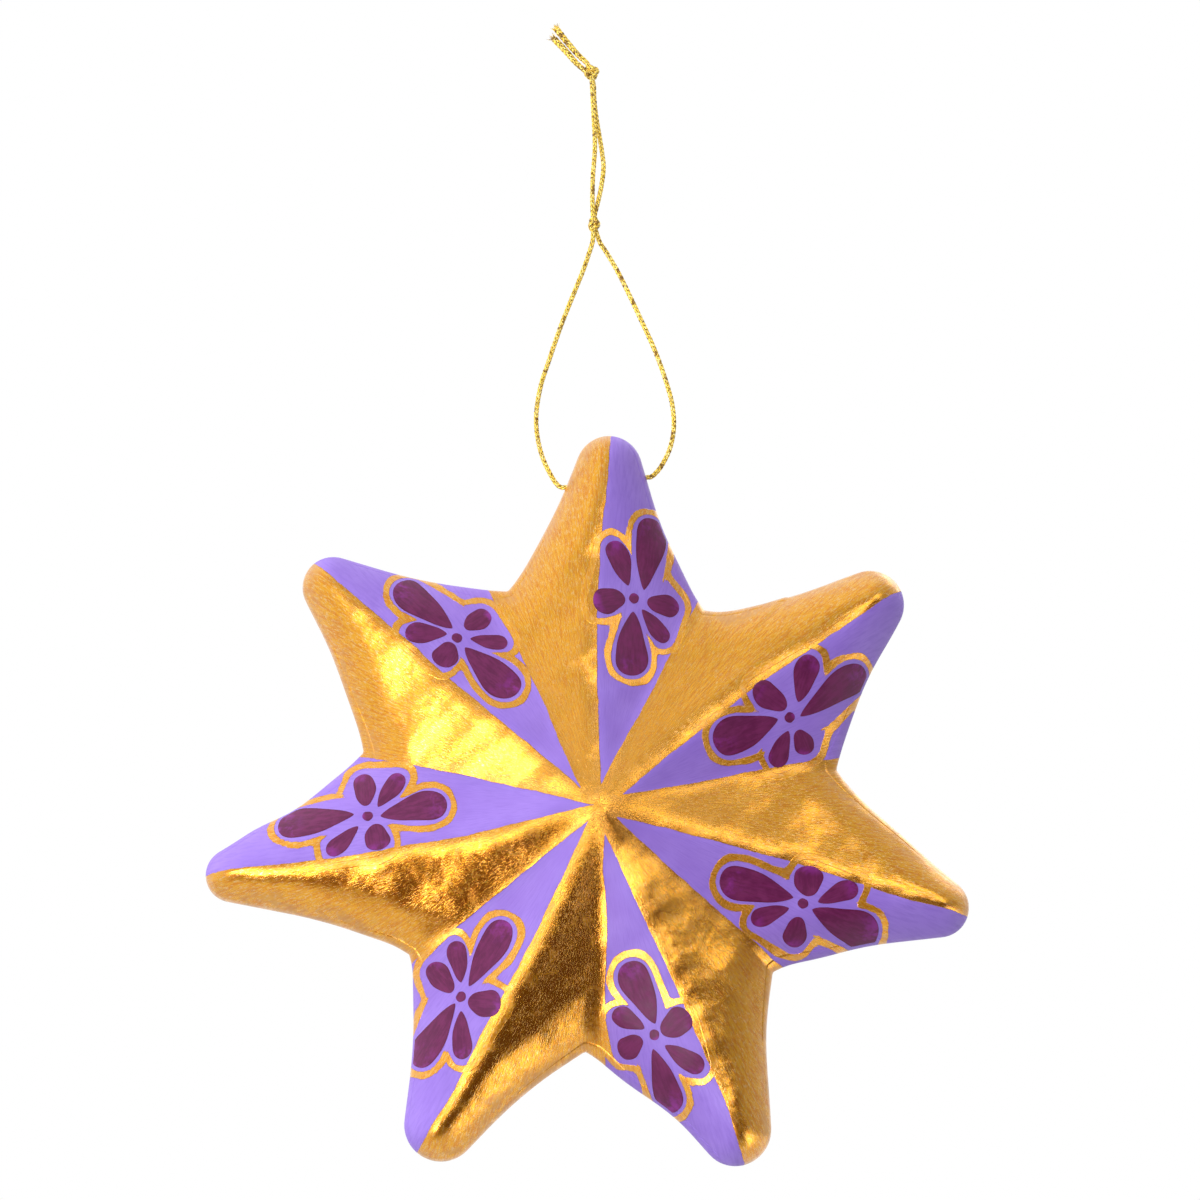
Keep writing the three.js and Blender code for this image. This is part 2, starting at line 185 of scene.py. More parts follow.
# Where the gold paint ends, measured clockwise: off each arm's middle line at seven distances from the
# apex, and off each valley line at four. The ridges follow the paint, a brush's width inside the gold.
# The edges were read off the photograph by eye and turned into millimetres by a separate program.
CREST_STATIONS = [3, 12, 22, 32, 42, 52, 62]
CREST_EDGES = [
    [0.1, -0.5, -1.0, -1.3, -1.1, -0.4, 0.2],
    [1.2, 0.6, 0.4, 0.0, 0.6, 1.1, 1.6],
    [1.4, 0.8, 0.7, 0.4, 0.6, 1.0, 0.4],
    [1.2, 0.9, 0.5, 0.1, 0.1, -0.1, 0.8],
    [0.4, 0.1, -0.1, 0.0, 0.4, 0.2, 1.2],
    [-0.2, -0.6, -1.3, -1.1, -1.0, -0.5, 0.4],
    [-0.2, 0.1, 0.0, 0.0, 0.4, 0.5, 0.8],
]
VALLEY_STATIONS = [10, 20, 30, 40]
VALLEY_EDGES = [
    [-1.2, -1.1, -1.1, -1.4],
    [-0.7, -0.9, -1.3, -1.35],
    [0.0, 0.0, -0.3, -0.7],
    [-0.9, -1.9, -1.9, -2.3],
    [-1.2, -1.5, -1.75, -1.7],
    [-0.6, -0.7, -1.1, -1.5],
    [-1.8, -1.4, -1.6, -1.8],
]
GOLD_OVER_CREST = 1.1

# Painted flowers, one on each arm's lavender flank. The middle is (outwards, clockwise) from the apex along
# the arm, and each petal has its base and far end from that middle, and its width. The order is: the long
# outer petal, the long inner one, the two that point at the crest, and the two that point at the valley.
# The cusps are where the lobes of the gold outline meet: between the long outer petal and the crest's two,
# the crest's two and the long inner petal, that and the valley's two, and those and the long outer petal.
# All were read off the photograph by eye and turned into millimetres on the face by a separate program.
FLOWERS = [
    {"middle": (35.0, 4.7), "cusps": [(8.9, -0.9), (-3.6, -2.6), (-5.7, 1.8), (4.6, 5.5)],
     "petals": [
        ((1.6, 1.6), (14.3, 2.7), 5.0), ((-2.3, -0.1), (-13.2, -0.2), 5.4),
        ((2.1, -1.0), (9.4, -3.8), 3.7), ((-0.1, -1.5), (-1.6, -6.6), 4.4),
        ((-0.3, 2.2), (-1.0, 7.5), 3.7), ((-1.8, 1.4), (-6.9, 5.6), 2.9)]},
    {"middle": (33.9, 7.3), "cusps": [(9.5, -1.8), (-4.4, -4.1), (-7.9, 2.1), (4.4, 5.3)],
     "petals": [
        ((1.6, 0.9), (15.3, 0.9), 4.6), ((-1.8, -0.9), (-12.9, -3.8), 5.9),
        ((2.7, -1.1), (9.0, -5.8), 4.0), ((0.4, -1.5), (-1.7, -7.4), 4.2),
        ((-0.1, 2.4), (-0.9, 6.4), 3.4), ((-1.5, 1.6), (-6.9, 4.8), 3.2)]},
    {"middle": (36.2, 6.2), "cusps": [(9.1, -2.1), (-3.9, -3.6), (-8, 2.3), (3.8, 4.7)],
     "petals": [
        ((1.7, 0.5), (13.3, 1.6), 5.6), ((-1.8, -0.5), (-14.2, -0.3), 5.4),
        ((2.3, -0.9), (7.9, -5.0), 3.2), ((0.7, -1.4), (-1.0, -5.9), 4.8),
        ((0.1, 2.2), (0.1, 6.9), 3.8), ((-2.0, 1.3), (-7.4, 4.9), 3.0)]},
    {"middle": (37.6, 6.3), "cusps": [(8.7, -1.4), (-3.6, -3.9), (-7, 2.4), (3.9, 4.7)],
     "petals": [
        ((2.0, 1.1), (12.6, 1.6), 4.3), ((-1.6, -0.8), (-12.5, -0.2), 5.1),
        ((2.3, -0.9), (8.4, -5.0), 3.3), ((0.3, -1.2), (-0.8, -6.5), 4.6),
        ((-0.3, 2.1), (0.6, 6.3), 3.8), ((-1.6, 1.1), (-6.2, 4.7), 3.2)]},
    {"middle": (37.8, 6.2), "cusps": [(8.9, -1.2), (-4.5, -2.8), (-7.7, 2), (3.1, 5.4)],
     "petals": [
        ((1.4, 0.4), (13.2, 1.6), 4.8), ((-2.1, -0.4), (-14.2, -1.2), 4.9),
        ((2.1, -1.1), (9.0, -4.9), 3.3), ((0.2, -1.4), (-1.7, -6.5), 4.5),
        ((-0.1, 1.7), (-2.6, 7.3), 3.7), ((-2.1, 1.1), (-7.7, 5.2), 3.3)]},
    {"middle": (37.8, 5.1), "cusps": [(9, -2.6), (-3.9, -2.6), (-6.8, 2.6), (4.3, 4.8)],
     "petals": [
        ((2.2, 0.7), (15.0, 0.9), 5.1), ((-2.1, -0.4), (-13.2, -0.2), 5.1),
        ((1.8, -1.5), (7.4, -5.3), 2.9), ((-1.0, -1.6), (-1.1, -6.1), 4.2),
        ((0.0, 1.8), (-0.2, 7.5), 3.7), ((-1.9, 1.3), (-6.7, 6.0), 3.2)]},
    {"middle": (36.3, 6.2), "cusps": [(7.2, -1.5), (-3.6, -2.8), (-6.2, 1.4), (3.6, 5.6)],
     "petals": [
        ((1.7, 0.8), (13.9, 0.7), 5.4), ((-2.1, -0.4), (-13.8, -0.9), 5.7),
        ((1.7, -0.6), (6.8, -5.1), 3.6), ((0.0, -1.2), (-1.1, -5.6), 4.2),
        ((0.2, 2.2), (-0.9, 7.0), 3.6), ((-1.7, 1.4), (-6.8, 4.8), 2.7)]},
]
# For each petal and last for the dot in the middle: how fast it widens from its base and how late it narrows
PETAL_FORMS = [(0.7, 4.0), (0.7, 4.0), (0.65, 3.5), (0.45, 3.0), (0.45, 3.0), (0.65, 3.5), (0.5, 1.0)]
DOT = ((-0.88, 0.0), (0.88, 0.0), 1.6)
PETAL_BEND = 0.25
PETAL_PAINT_THICKNESS = 0.06
LINE_FROM_LONG_PETAL = 1.2
LINE_FROM_PAIR = 1.6
LINE_HALF_WIDTH = 0.56
FLOWER_REACH = 20.0
EDGE_CLEARANCE = 0.35
BRUSH_ARC_RADIUS = 38.0


# Meshes

def make_piece(name, points, faces, body):
    """A smooth mesh object of its points in millimetres and its faces, riding on a body."""
    mesh = bpy.data.meshes.new(name)
    mesh.from_pydata((np.asarray(points) * METRES).tolist(), [], [list(map(int, face)) for face in faces])
    mesh.polygons.foreach_set("use_smooth", np.full(len(mesh.polygons), True))
    mesh.update()
    mesh.set_sharp_from_angle(angle=math.radians(60))
    piece = bpy.data.objects.new(name, mesh)
    bpy.context.scene.collection.objects.link(piece)
    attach(piece, body)
    return piece


def add_field(piece, name, values):
    """Stores one number for each point, which a material reads by its name."""
    layer = piece.data.attributes.new(name, "FLOAT", "POINT")
    layer.data.foreach_set("value", np.asarray(values, dtype=np.float32))


def grid_faces(rows, columns, close_rows=False):
    """Quads of a grid whose columns close round, and whose last row joins the first if asked."""
    count = rows if close_rows else rows - 1
    r = np.arange(count)[:, None]
    c = np.arange(columns)[None, :]
    below = (r + 1) % rows
    right = (c + 1) % columns
    corners = [r * columns + c, below * columns + c, below * columns + right, r * columns + right]
    return np.stack([np.broadcast_to(k, (count, columns)) for k in corners], -1).reshape(-1, 4)


def end_faces(rows, columns, first, last):
    """Triangles that close a grid's first and last rows, each round a single point."""
    here = np.arange(columns)
    onwards = (here + 1) % columns
    start = np.stack([np.full(columns, first), here, onwards], -1)
    base = (rows - 1) * columns
    end = np.stack([base + here, np.full(columns, last), base + onwards], -1)
    return start, end


# Camera

def make_camera():
    """The camera stands back from its aim along a line that rises towards the ornament."""
    tilt = math.radians(CAMERA_ELEVATION)
    towards_camera = Vector((0, -math.cos(tilt), math.sin(tilt)))
    data = bpy.data.cameras.new("camera")
    data.lens = CAMERA_LENS
    data.sensor_width = CAMERA_SENSOR
    data.clip_start = 0.05
    camera = bpy.data.objects.new("camera", data)
    camera.location = (Vector(CAMERA_AIM) + towards_camera * CAMERA_DISTANCE) * METRES
    camera.rotation_euler = (-towards_camera).to_track_quat("-Z", "Y").to_euler()
    bpy.context.scene.collection.objects.link(camera)
    bpy.context.scene.camera = camera


make_camera()


# Cord

def smooth_path(points, step):
    """Curve through points, at nearly equal steps.

    Between two points it is a cubic whose end slopes come from the points around them, each weighed by the
    square root of its distance, so that unevenly set points make no overshoot.
    """
    given = np.array(points, dtype=float)
    given = np.concatenate([[2 * given[0] - given[1]], given, [2 * given[-1] - given[-2]]])
    gap = np.sqrt(np.linalg.norm(np.diff(given, axis=0), axis=1))[:, None]
    a, b, c, d = given[:-3], given[1:-2], given[2:-1], given[3:]
    ab, bc, cd = gap[:-2], gap[1:-1], gap[2:]
    leave = ((b - a) / ab - (c - a) / (ab + bc) + (c - b) / bc) * bc
    arrive = ((c - b) / bc - (d - b) / (bc + cd) + (d - c) / cd) * bc
    t = np.linspace(0, 1, 60, endpoint=False)[None, :, None]
    square = -3 * b + 3 * c - 2 * leave - arrive
    cube = 2 * b - 2 * c + leave + arrive
    fine = b[:, None] + leave[:, None] * t + square[:, None] * t**2 + cube[:, None] * t**3
    fine = np.concatenate([fine.reshape(-1, 3), given[-2:-1]])
    return even_path(fine, step)


def even_path(fine, step):
    """The same path with its points at equal steps."""
    length = np.concatenate([[0], np.cumsum(np.linalg.norm(np.diff(fine, axis=0), axis=1))])
    at = np.linspace(0, length[-1], max(4, round(length[-1] / step)) + 1)
    return np.stack([np.interp(at, length, fine[:, k]) for k in range(3)], -1)


def knit(path, sideways, closed=False, swell=None):
    """A knitted cord along a path: its points, and how high each lies between core and stitches' crowns.

    Round it run columns of stitches. Along itself a stitch is half an ellipse, and a flatter one across its
    column. The stitches of a column lean one way and those of the next the other way, so that each pair
    makes a row of Vs. sideways is roughly square to the path at every point, so the tube never twists.
    """
    if closed:
        tangent = np.roll(path, -1, axis=0) - np.roll(path, 1, axis=0)
    else:
        tangent = np.gradient(path, axis=0)
    tangent /= np.linalg.norm(tangent, axis=1, keepdims=True)
    normal = sideways - (sideways * tangent).sum(1, keepdims=True) * tangent
    normal /= np.linalg.norm(normal, axis=1, keepdims=True)
    other = np.cross(tangent, normal)
    steps = np.linalg.norm(np.diff(path, axis=0), axis=1)
    along = np.concatenate([[0], np.cumsum(steps)])
    stitch = STITCH
    if closed:
        whole = along[-1] + np.linalg.norm(path[0] - path[-1])
        stitch = whole / round(whole / STITCH)
    turn = np.arange(ROUND_CORD)[None, :] / ROUND_CORD
    column = np.floor(COLUMNS * turn)
    across = 2 * (COLUMNS * turn - column) - 1
    lean = np.where(column % 2 == 0, 1, -1) * STITCH_LEAN / 2
    place = 2 * ((along[:, None] / stitch + lean * across + 0.5 * (column // 2)) % 1) - 1
    relief = (0.45 + 0.55 * np.sqrt(1 - across**2)) * np.sqrt(1 - place**2)
    radius = CORE_RADIUS + STITCH_RISE * relief
    if swell is not None:
        radius = radius * swell[:, None]
    angle = 2 * np.pi * turn
    rings = normal[:, None] * np.cos(angle)[..., None] + other[:, None] * np.sin(angle)[..., None]
    return path[:, None] + rings * radius[..., None], relief


def cord_piece(name, path, sideways, body, closed=False, swell=None):
    """A knitted cord as a closed mesh, with the relief of its stitches kept for the material."""
    rings, relief = knit(path, sideways, closed, swell)
    rows = len(path)
    faces = grid_faces(rows, ROUND_CORD, close_rows=closed).tolist()
    points = rings.reshape(-1, 3)
    heights = relief.ravel()
    if not closed:
        start, end = end_faces(rows, ROUND_CORD, len(points), len(points) + 1)
        faces += start.tolist() + end.tolist()
        points = np.concatenate([points, path[:1], path[-1:]])
        # The end caps get a low relief, which the material paints with the shade of the gaps.
        heights = np.concatenate([heights, [0.3, 0.3]])
    piece = make_piece(name, points, [face[::-1] for face in faces], body)
    # The relief is the stitches' height, which the material turns into painted shade in the gaps.
    add_field(piece, "relief", heights)
    return piece


def towards_back(path):
    """The direction to the back of the star, once for each point of a path."""
    return np.broadcast_to(np.array([0.0, 1.0, 0.0]), path.shape)


def knot_path(at, across, along, loop, rise, lean):
    """A pulled-tight overhand knot as a closed trefoil: it winds three times round a ring in two turns.

    across is the ring's radius, loop how far the winding moves in and out, rise how far back and forth,
    along how much the ring is stretched upwards, and lean a turn in the picture's plane.
    """
    t = np.linspace(0, 2 * np.pi, 400)
    ring = across + loop * np.cos(3 * t)
    flat = np.stack([ring * np.cos(2 * t), rise * np.sin(3 * t), along * ring * np.sin(2 * t)], -1)
    turn = np.array([[math.cos(lean), 0, math.sin(lean)], [0, 1, 0], [-math.sin(lean), 0, math.cos(lean)]])
    path = even_path(flat @ turn.T + np.array(at), CORD_STEP)[:-1]
    return path, path - np.array(at) + np.array([0, 1e-3, 0])


def frayed_end(name, tip, direction, count, seed):
    """Loose ends of the yarns: thin tapering threads that leave a cord's end and splay outwards.

    Each thread's middle line is a parabola from a place on the end's face, bent along its own splay, and its
    section is a small hexagon that narrows towards the thread's end.
    """
    chance = np.random.default_rng(seed)
    direction = np.array(direction) / np.linalg.norm(direction)
    side = np.cross(direction, [0.0, 1.0, 0.0])
    side /= np.linalg.norm(side)
    depth = np.cross(side, direction)
    turn = chance.uniform(0, 2 * np.pi, count)
    splay = np.cos(turn)[:, None] * side + np.sin(turn)[:, None] * depth
    start = np.array(tip) + splay * chance.uniform(0.06, 0.46, count)[:, None] - direction * 0.35
    length = chance.uniform(0.7, 1.4, count)[:, None, None]
    spread = chance.uniform(-0.2, 0.7, count)[:, None, None]
    t = np.linspace(0, 1, YARN_STEPS)[None, :, None]
    middle = start[:, None] + length * (t * direction + spread * t**2 * splay[:, None])
    radius = YARN_RADIUS * (1 - YARN_TAPER * t)
    angle = np.arange(YARN_SIDES) / YARN_SIDES * 2 * np.pi
    ring = np.cos(angle)[:, None] * side + np.sin(angle)[:, None] * depth
    points = middle[:, :, None] + radius[..., None] * ring
    one = grid_faces(YARN_STEPS, YARN_SIDES)
    first_ring = np.arange(YARN_SIDES)
    last_ring = first_ring + (YARN_STEPS - 1) * YARN_SIDES
    faces = []
    for k in range(count):
        base = k * YARN_STEPS * YARN_SIDES
        faces += (one + base).tolist()
        faces.append((base + first_ring).tolist())
        faces.append((base + last_ring)[::-1].tolist())
    piece = make_piece(name, points.reshape(-1, 3), faces, "hanger")
    add_field(piece, "relief", np.full(count * YARN_STEPS * YARN_SIDES, 0.85))
    return piece


def make_cords():
    """The hanging loop, the two strands with their tails, the two knots and the frayed ends."""
    crossing = (CROSSING_X, 0, CROSSING_Z)
    left_half = [*LEG_LEFT_IN_KNOT, *LEG_LEFT[::-1], MOUTH_LEFT]
    right_half = [MOUTH_RIGHT, *LEG_RIGHT, *LEG_RIGHT_IN_KNOT]
    loop_path = smooth_path([*left_half, crossing, *right_half], CORD_STEP)
    loop = cord_piece("cord_loop", loop_path, towards_back(loop_path), "loop")
    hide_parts("cord_leg_left", "cord_crossing", "cord_leg_right")

    path, outwards = knot_path(LOWER_KNOT, **LOWER_KNOT_FORM)
    lower_knot = cord_piece("lower_knot", path, outwards, "loop", closed=True)
    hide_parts("knot_lower")

    left_path = [*STRAND_LEFT_IN_LOWER_KNOT, *STRAND_LEFT, *STRAND_LEFT_IN_UPPER_KNOT, *TAIL_UPPER]
    right_path = [*STRAND_RIGHT_IN_LOWER_KNOT, *STRAND_RIGHT, *STRAND_RIGHT_IN_UPPER_KNOT, *TAIL_LOWER]
    path, outwards = knot_path(UPPER_KNOT, **UPPER_KNOT_FORM)
    upper_knot = cord_piece("upper_knot", path, outwards, "hanger", closed=True)
    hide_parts("knot_upper")
    for name, points, nodes, seed, others in (
        ("cord_strand_and_upper_tail", left_path, ("cord_strand_left", "cord_tail_upper"), 3, [upper_knot]),
        ("cord_strand_and_lower_tail", right_path, ("cord_strand_right", "cord_tail_lower"), 8, []),
    ):
        path = smooth_path(points, CORD_STEP)
        to_end = np.linalg.norm(path - path[-1], axis=1)
        swell = 1 + TAIL_SWELL * np.clip(1 - to_end / TAIL_LENGTH, 0, 1) ** 0.7
        strand = cord_piece(name, path, towards_back(path), "hanger", swell=swell)
        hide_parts(*nodes)
        ends = frayed_end(name + "_frayed_end", path[-1], path[-1] - path[-12], LOOSE_YARNS, seed)


make_cords()


# Star plan and relief

def polar(bearing, reach):
    """Plan points at bearings in degrees, clockwise from +z, and reaches from the apex."""
    angle = np.radians(bearing)
    return np.stack([reach * np.sin(angle), reach * np.cos(angle)], -1)


def cross(a, b):
    """How far plan vectors turn from one to the other: the product of their lengths and the turn's sine."""
    return a[..., 0] * b[..., 1] - a[..., 1] * b[..., 0]


def make_arm(index):
    """One arm in plan: a round tip, and from each notch a straight side that meets the tip as a tangent."""
    arm = ARMS[index]
    centre = polar(arm["bearing"], arm["reach"] * STAR_RADIUS - arm["tip_radius"])

    def side_normal(notch, sign):
        """The direction square to the side that runs from a notch to the tip's circle."""
        to_corner = polar(notch[0], notch[1] * STAR_RADIUS) - centre
        lean = np.arccos(arm["tip_radius"] / np.hypot(*to_corner))
        angle = np.arctan2(to_corner[1], to_corner[0]) + sign * lean
        return np.array([np.cos(angle), np.sin(angle)])

    return {
        "centre": centre,
        "axis": polar(arm["bearing"], 1.0),
        "tip_radius": arm["tip_radius"],
        "before": side_normal(NOTCHES[index - 1], -1),
        "after": side_normal(NOTCHES[index], 1),
    }


arms = [make_arm(i) for i in range(len(ARMS))]


def distance_in_arm(plan, arm):
    """Distance to one arm's outline, positive inside: its tip radius less the reach from the tip's centre."""
    v = plan - arm["centre"]
    beyond_tip = (cross(v, arm["before"]) >= 0) & (cross(v, arm["after"]) <= 0) & (v @ arm["axis"] > 0)
    off_sides = np.maximum(v @ arm["before"], v @ arm["after"])
    reach = np.where(beyond_tip, np.hypot(v[..., 0], v[..., 1]), off_sides)
    return np.where(plan @ arm["axis"] >= 0, arm["tip_radius"] - reach, -1000.0)


def edge_swell(plan):
    """How far the outline stands out near set places: a sum of bell curves, some of them dents."""
    away = ((plan[..., None, :] - EDGE_SWELLS[:, :2]) ** 2).sum(-1)
    return (EDGE_SWELLS[:, 2] * np.exp(-away / (2 * EDGE_SWELLS[:, 3] ** 2))).sum(-1)


def distance_inside(plan):
    """Distance to the star's outline, positive inside. The two nearest arms flow together at a notch."""
    ranked = np.sort(np.stack([distance_in_arm(plan, arm) for arm in arms], -1), -1)
    best, second = ranked[..., -1], ranked[..., -2]
    overlap = np.maximum(NOTCH_BLEND - (best - second), 0)
    return best + overlap**2 / (8 * NOTCH_BLEND) + edge_swell(plan)


def arm_coordinates(plan, index):
    """Distance outwards along an arm's middle line and clockwise off it."""
    axis = arms[index]["axis"]
    return plan @ axis, cross(plan, axis)


def crest_edge(index, along):
    """How far clockwise of the arm's middle line its gold paint ends."""
    return np.interp(along, CREST_STATIONS, CREST_EDGES[index])


def roof_height(plan):
    """Height of the relief before the rim turns over.

    Each arm is a roof that falls outwards along its ridge and, faster, off both sides of it, and a parabola
    rounds the ridge. The roofs are joined by a soft maximum, which rounds the valleys, and the apex keeps
    its height.
    """
    radius = np.hypot(plan[..., 0], plan[..., 1])
    total = np.zeros_like(radius)
    for i in range(len(arms)):
        along, across = arm_coordinates(plan, i)
        bend = (crest_edge(i, along) - GOLD_OVER_CREST) * np.clip(radius / CREST_BEND_STARTS, 0, 1)
        off_ridge = np.where(along > 0, np.abs(across - bend), radius)
        on_crest = np.minimum(off_ridge, CREST_HALF_WIDTH)
        drop = off_ridge - on_crest + on_crest**2 / (2 * CREST_HALF_WIDTH)
        total += np.exp((-RIDGE_FALL * radius - FLANK_FALL * drop) / VALLEY_BLEND)
    return APEX_HEIGHT + VALLEY_BLEND * (np.log(total) - np.log(len(arms)) * np.exp(-radius))


def hand_unevenness(plan, side):
    """Slow swells of a hand-laid paper surface: a sum of sine waves in set directions."""
    swell = np.zeros(plan.shape[:-1])
    for across, up, start, height in PAPER_WAVES:
        swell += height * np.sin(across * plan[..., 0] + up * plan[..., 1] + start + side)
    return swell


def roll_factor(distance, width):
    """A quarter of an ellipse: 0 at the outline and 1 from the given width inwards."""
    inwards = np.clip(distance / width, 0, 1)
    return np.sqrt(1 - (1 - inwards) ** 2)


def outer_height(plan, side):
    """Height of the outer face above the seam: the uneven roof, rolled down to nothing at the outline."""
    distance = distance_inside(plan)
    uneven = hand_unevenness(plan, side) * np.clip((distance - 1.5) / 5, 0, 1)
    return (roof_height(plan) + uneven) * roll_factor(distance, RIM_ROLL)


def falls_to_zero(function, low, high):
    """Halves the stretch between low and high, as arrays, until the falling function passes zero."""
    for _ in range(34):
        middle = (low + high) / 2
        above = function(middle) > 0
        low = np.where(above, middle, low)
        high = np.where(above, high, middle)
    return (low + high) / 2


BEARINGS_PER_FLANK = 56
CROWDING = 1.3
FACE_ROWS = 84
ROLL_ROWS = 14
PETAL_ROWS = 26
PETAL_COLUMNS = 13


def all_bearings():
    """Bearings all round, in two flanks for each arm, a little closer together at the ridges."""
    share = np.arange(BEARINGS_PER_FLANK + 1) / BEARINGS_PER_FLANK
    parts = []
    for i, arm in enumerate(ARMS):
        notch = NOTCHES[i][0]
        onwards = ARMS[i + 1]["bearing"] if i + 1 < len(ARMS) else ARMS[0]["bearing"] + 360
        parts.append(arm["bearing"] + (notch - arm["bearing"]) * share[:-1] ** CROWDING)
        parts.append(onwards - (onwards - notch) * share[:0:-1] ** CROWDING)
    return np.concatenate(parts)


bearings = all_bearings()


def reach_at_distance(distance):
    """For each bearing, how far out the outline is still a given distance away."""
    low = np.full(bearings.shape, RIM_ROLL)
    high = np.full(bearings.shape, STAR_RADIUS * 1.1)
    return falls_to_zero(lambda reach: distance_inside(polar(bearings, reach)) - distance, low, high)


def reach_at_height(height, side):
    """For each bearing, how far out the outer surface falls to a given height above the seam."""
    low = reach_at_distance(RIM_ROLL)
    high = reach_at_distance(0.0)
    return falls_to_zero(lambda reach: outer_height(polar(bearings, reach), side) - height, low, high)


def band_row(height, side, inset):
    """Plan points of the outer surface at a height, moved square to the outline inwards by inset."""
    plan = polar(bearings, reach_at_height(height, side))
    if inset == 0:
        return plan
    return polar(bearings, reach_at_distance(distance_inside(plan) + inset))


to_crossing = polar(ARMS[0]["bearing"], ARMS[0]["reach"] * STAR_RADIUS - HOLE_FROM_TIP)
apex = np.array([CROSSING_X, CROSSING_Z]) - to_crossing


def in_part_frame(plan, height, side):
    """Plan points and heights above the seam in the part's frame. side is -1 in front and 1 behind."""
    return np.stack([plan[..., 0] + apex[0], side * height, plan[..., 1] + apex[1]], -1)


# Painted pattern

def distance_to_outline(points, outline):
    """Distance from points to a closed outline, positive inside, by the nearest of its straight stretches."""
    start = outline[None]
    along = np.roll(outline, -1, axis=0)[None] - start
    v = points[:, None] - start
    share = np.clip((v * along).sum(-1) / (along**2).sum(-1), 0, 1)
    nearest = np.sqrt((((v - share[..., None] * along) ** 2).sum(-1)).min(1))
    crosses = (start[..., 1] > points[:, None, 1]) != ((start + along)[..., 1] > points[:, None, 1])
    level = np.zeros_like(along[..., 0])
    slope = np.divide(along[..., 0], along[..., 1], out=level, where=along[..., 1] != 0)
    x = start[..., 0] + slope * (points[:, None, 1] - start[..., 1])
    inside = (crosses & (points[:, None, 0] < x)).sum(1) % 2 == 1
    return np.where(inside, nearest, -nearest)


def petal_half_widths(share, width, form):
    """Half width along a petal: a power of the share of its length, times the root of one less another."""
    widening, narrowing = form

    def bulge(t):
        """The half width before it is scaled to the petal's own width."""
        return t**widening * np.sqrt(np.maximum(1 - t**narrowing, 0))

    return width / 2 * bulge(share) / bulge(np.linspace(0, 1, 200)).max()


def petal_outline(petal, form):
    """A petal's outline in its arm's plan, up its left side and back down its right."""
    base, end = np.array(petal[0]), np.array(petal[1])
    t = (1 - np.cos(np.linspace(0, np.pi, 32))) / 2
    forward = (end - base) / np.hypot(*(end - base))
    sideways = np.array([-forward[1], forward[0]])
    half = petal_half_widths(t, petal[2], form)
    left = base + np.outer(t, end - base) + np.outer(half, sideways)
    right = base + np.outer(t, end - base) - np.outer(half, sideways)
    return np.concatenate([left[:-1], right[:0:-1]])


def hull_of(points):
    """The convex outline of plan points."""
    return points[convex_hull_2d([tuple(p) for p in points])]


def hull_round(outlines, distance, cusps):
    """The tightest convex outline that keeps off some petals and ends in two cusps.

    It keeps a set distance off, but near a cusp only half of the way to it.
    """
    points = np.concatenate(outlines)
    to_cusp = np.linalg.norm(points[:, None] - cusps, axis=-1).min(1)
    off = np.minimum(distance, 0.5 * to_cusp)
    turn = np.arange(20) / 20 * 2 * np.pi
    circle = np.stack([np.cos(turn), np.sin(turn)], -1)
    around = (points[:, None] + off[:, None, None] * circle).reshape(-1, 2)
    return hull_of(np.concatenate([around, cusps]))


def outline_lobes(flower):
    """The lobes of a flower's gold outline: round each long petal, round each pair, and their middle."""
    petals = [petal_outline(petal, form) for petal, form in zip(flower["petals"], PETAL_FORMS)]
    cusps = np.array(flower["cusps"])
    return [
        hull_round(petals[0:1], LINE_FROM_LONG_PETAL, cusps[[3, 0]]),
        hull_round(petals[2:4], LINE_FROM_PAIR, cusps[[0, 1]]),
        hull_round(petals[1:2], LINE_FROM_LONG_PETAL, cusps[[1, 2]]),
        hull_round(petals[4:6], LINE_FROM_PAIR, cusps[[2, 3]]),
        hull_of(cusps),
    ]


def paint_fields(plan):
    """Fields of the painted pattern over plan points, in millimetres, positive inside lavender and lobes.

    An arm's lavender lies between the end of the gold on its crest and the end of the next arm's gold in the
    valley, and what no arm paints lavender is gold. The gold outline runs where the lobes' field is zero.
    """
    radius = np.hypot(plan[:, 0], plan[:, 1])
    fields = {name: np.full(len(plan), -50.0) for name in ("lavender", "lobes")}
    for i, arm in enumerate(ARMS):
        along, across = arm_coordinates(plan, i)
        onwards = ARMS[(i + 1) % len(ARMS)]["bearing"] + (360 if i + 1 == len(ARMS) else 0)
        valley = polar((arm["bearing"] + onwards) / 2, 1.0)
        before_valley = np.interp(radius, VALLEY_STATIONS, VALLEY_EDGES[i]) - cross(plan, valley)
        before_valley = np.where(plan @ valley > -2, before_valley, -50)
        wedge = np.where(along > 0, np.minimum(across - crest_edge(i, along), before_valley), -50)
        fields["lavender"] = np.maximum(fields["lavender"], wedge)

        local = np.stack([along, across], -1) - FLOWERS[i]["middle"]
        near = np.flatnonzero((np.hypot(local[:, 0], local[:, 1]) < FLOWER_REACH) & (wedge > -3))
        into = np.max([distance_to_outline(local[near], lobe) for lobe in outline_lobes(FLOWERS[i])], axis=0)
        fields["lobes"][near] = np.maximum(fields["lobes"][near], into)
    return fields


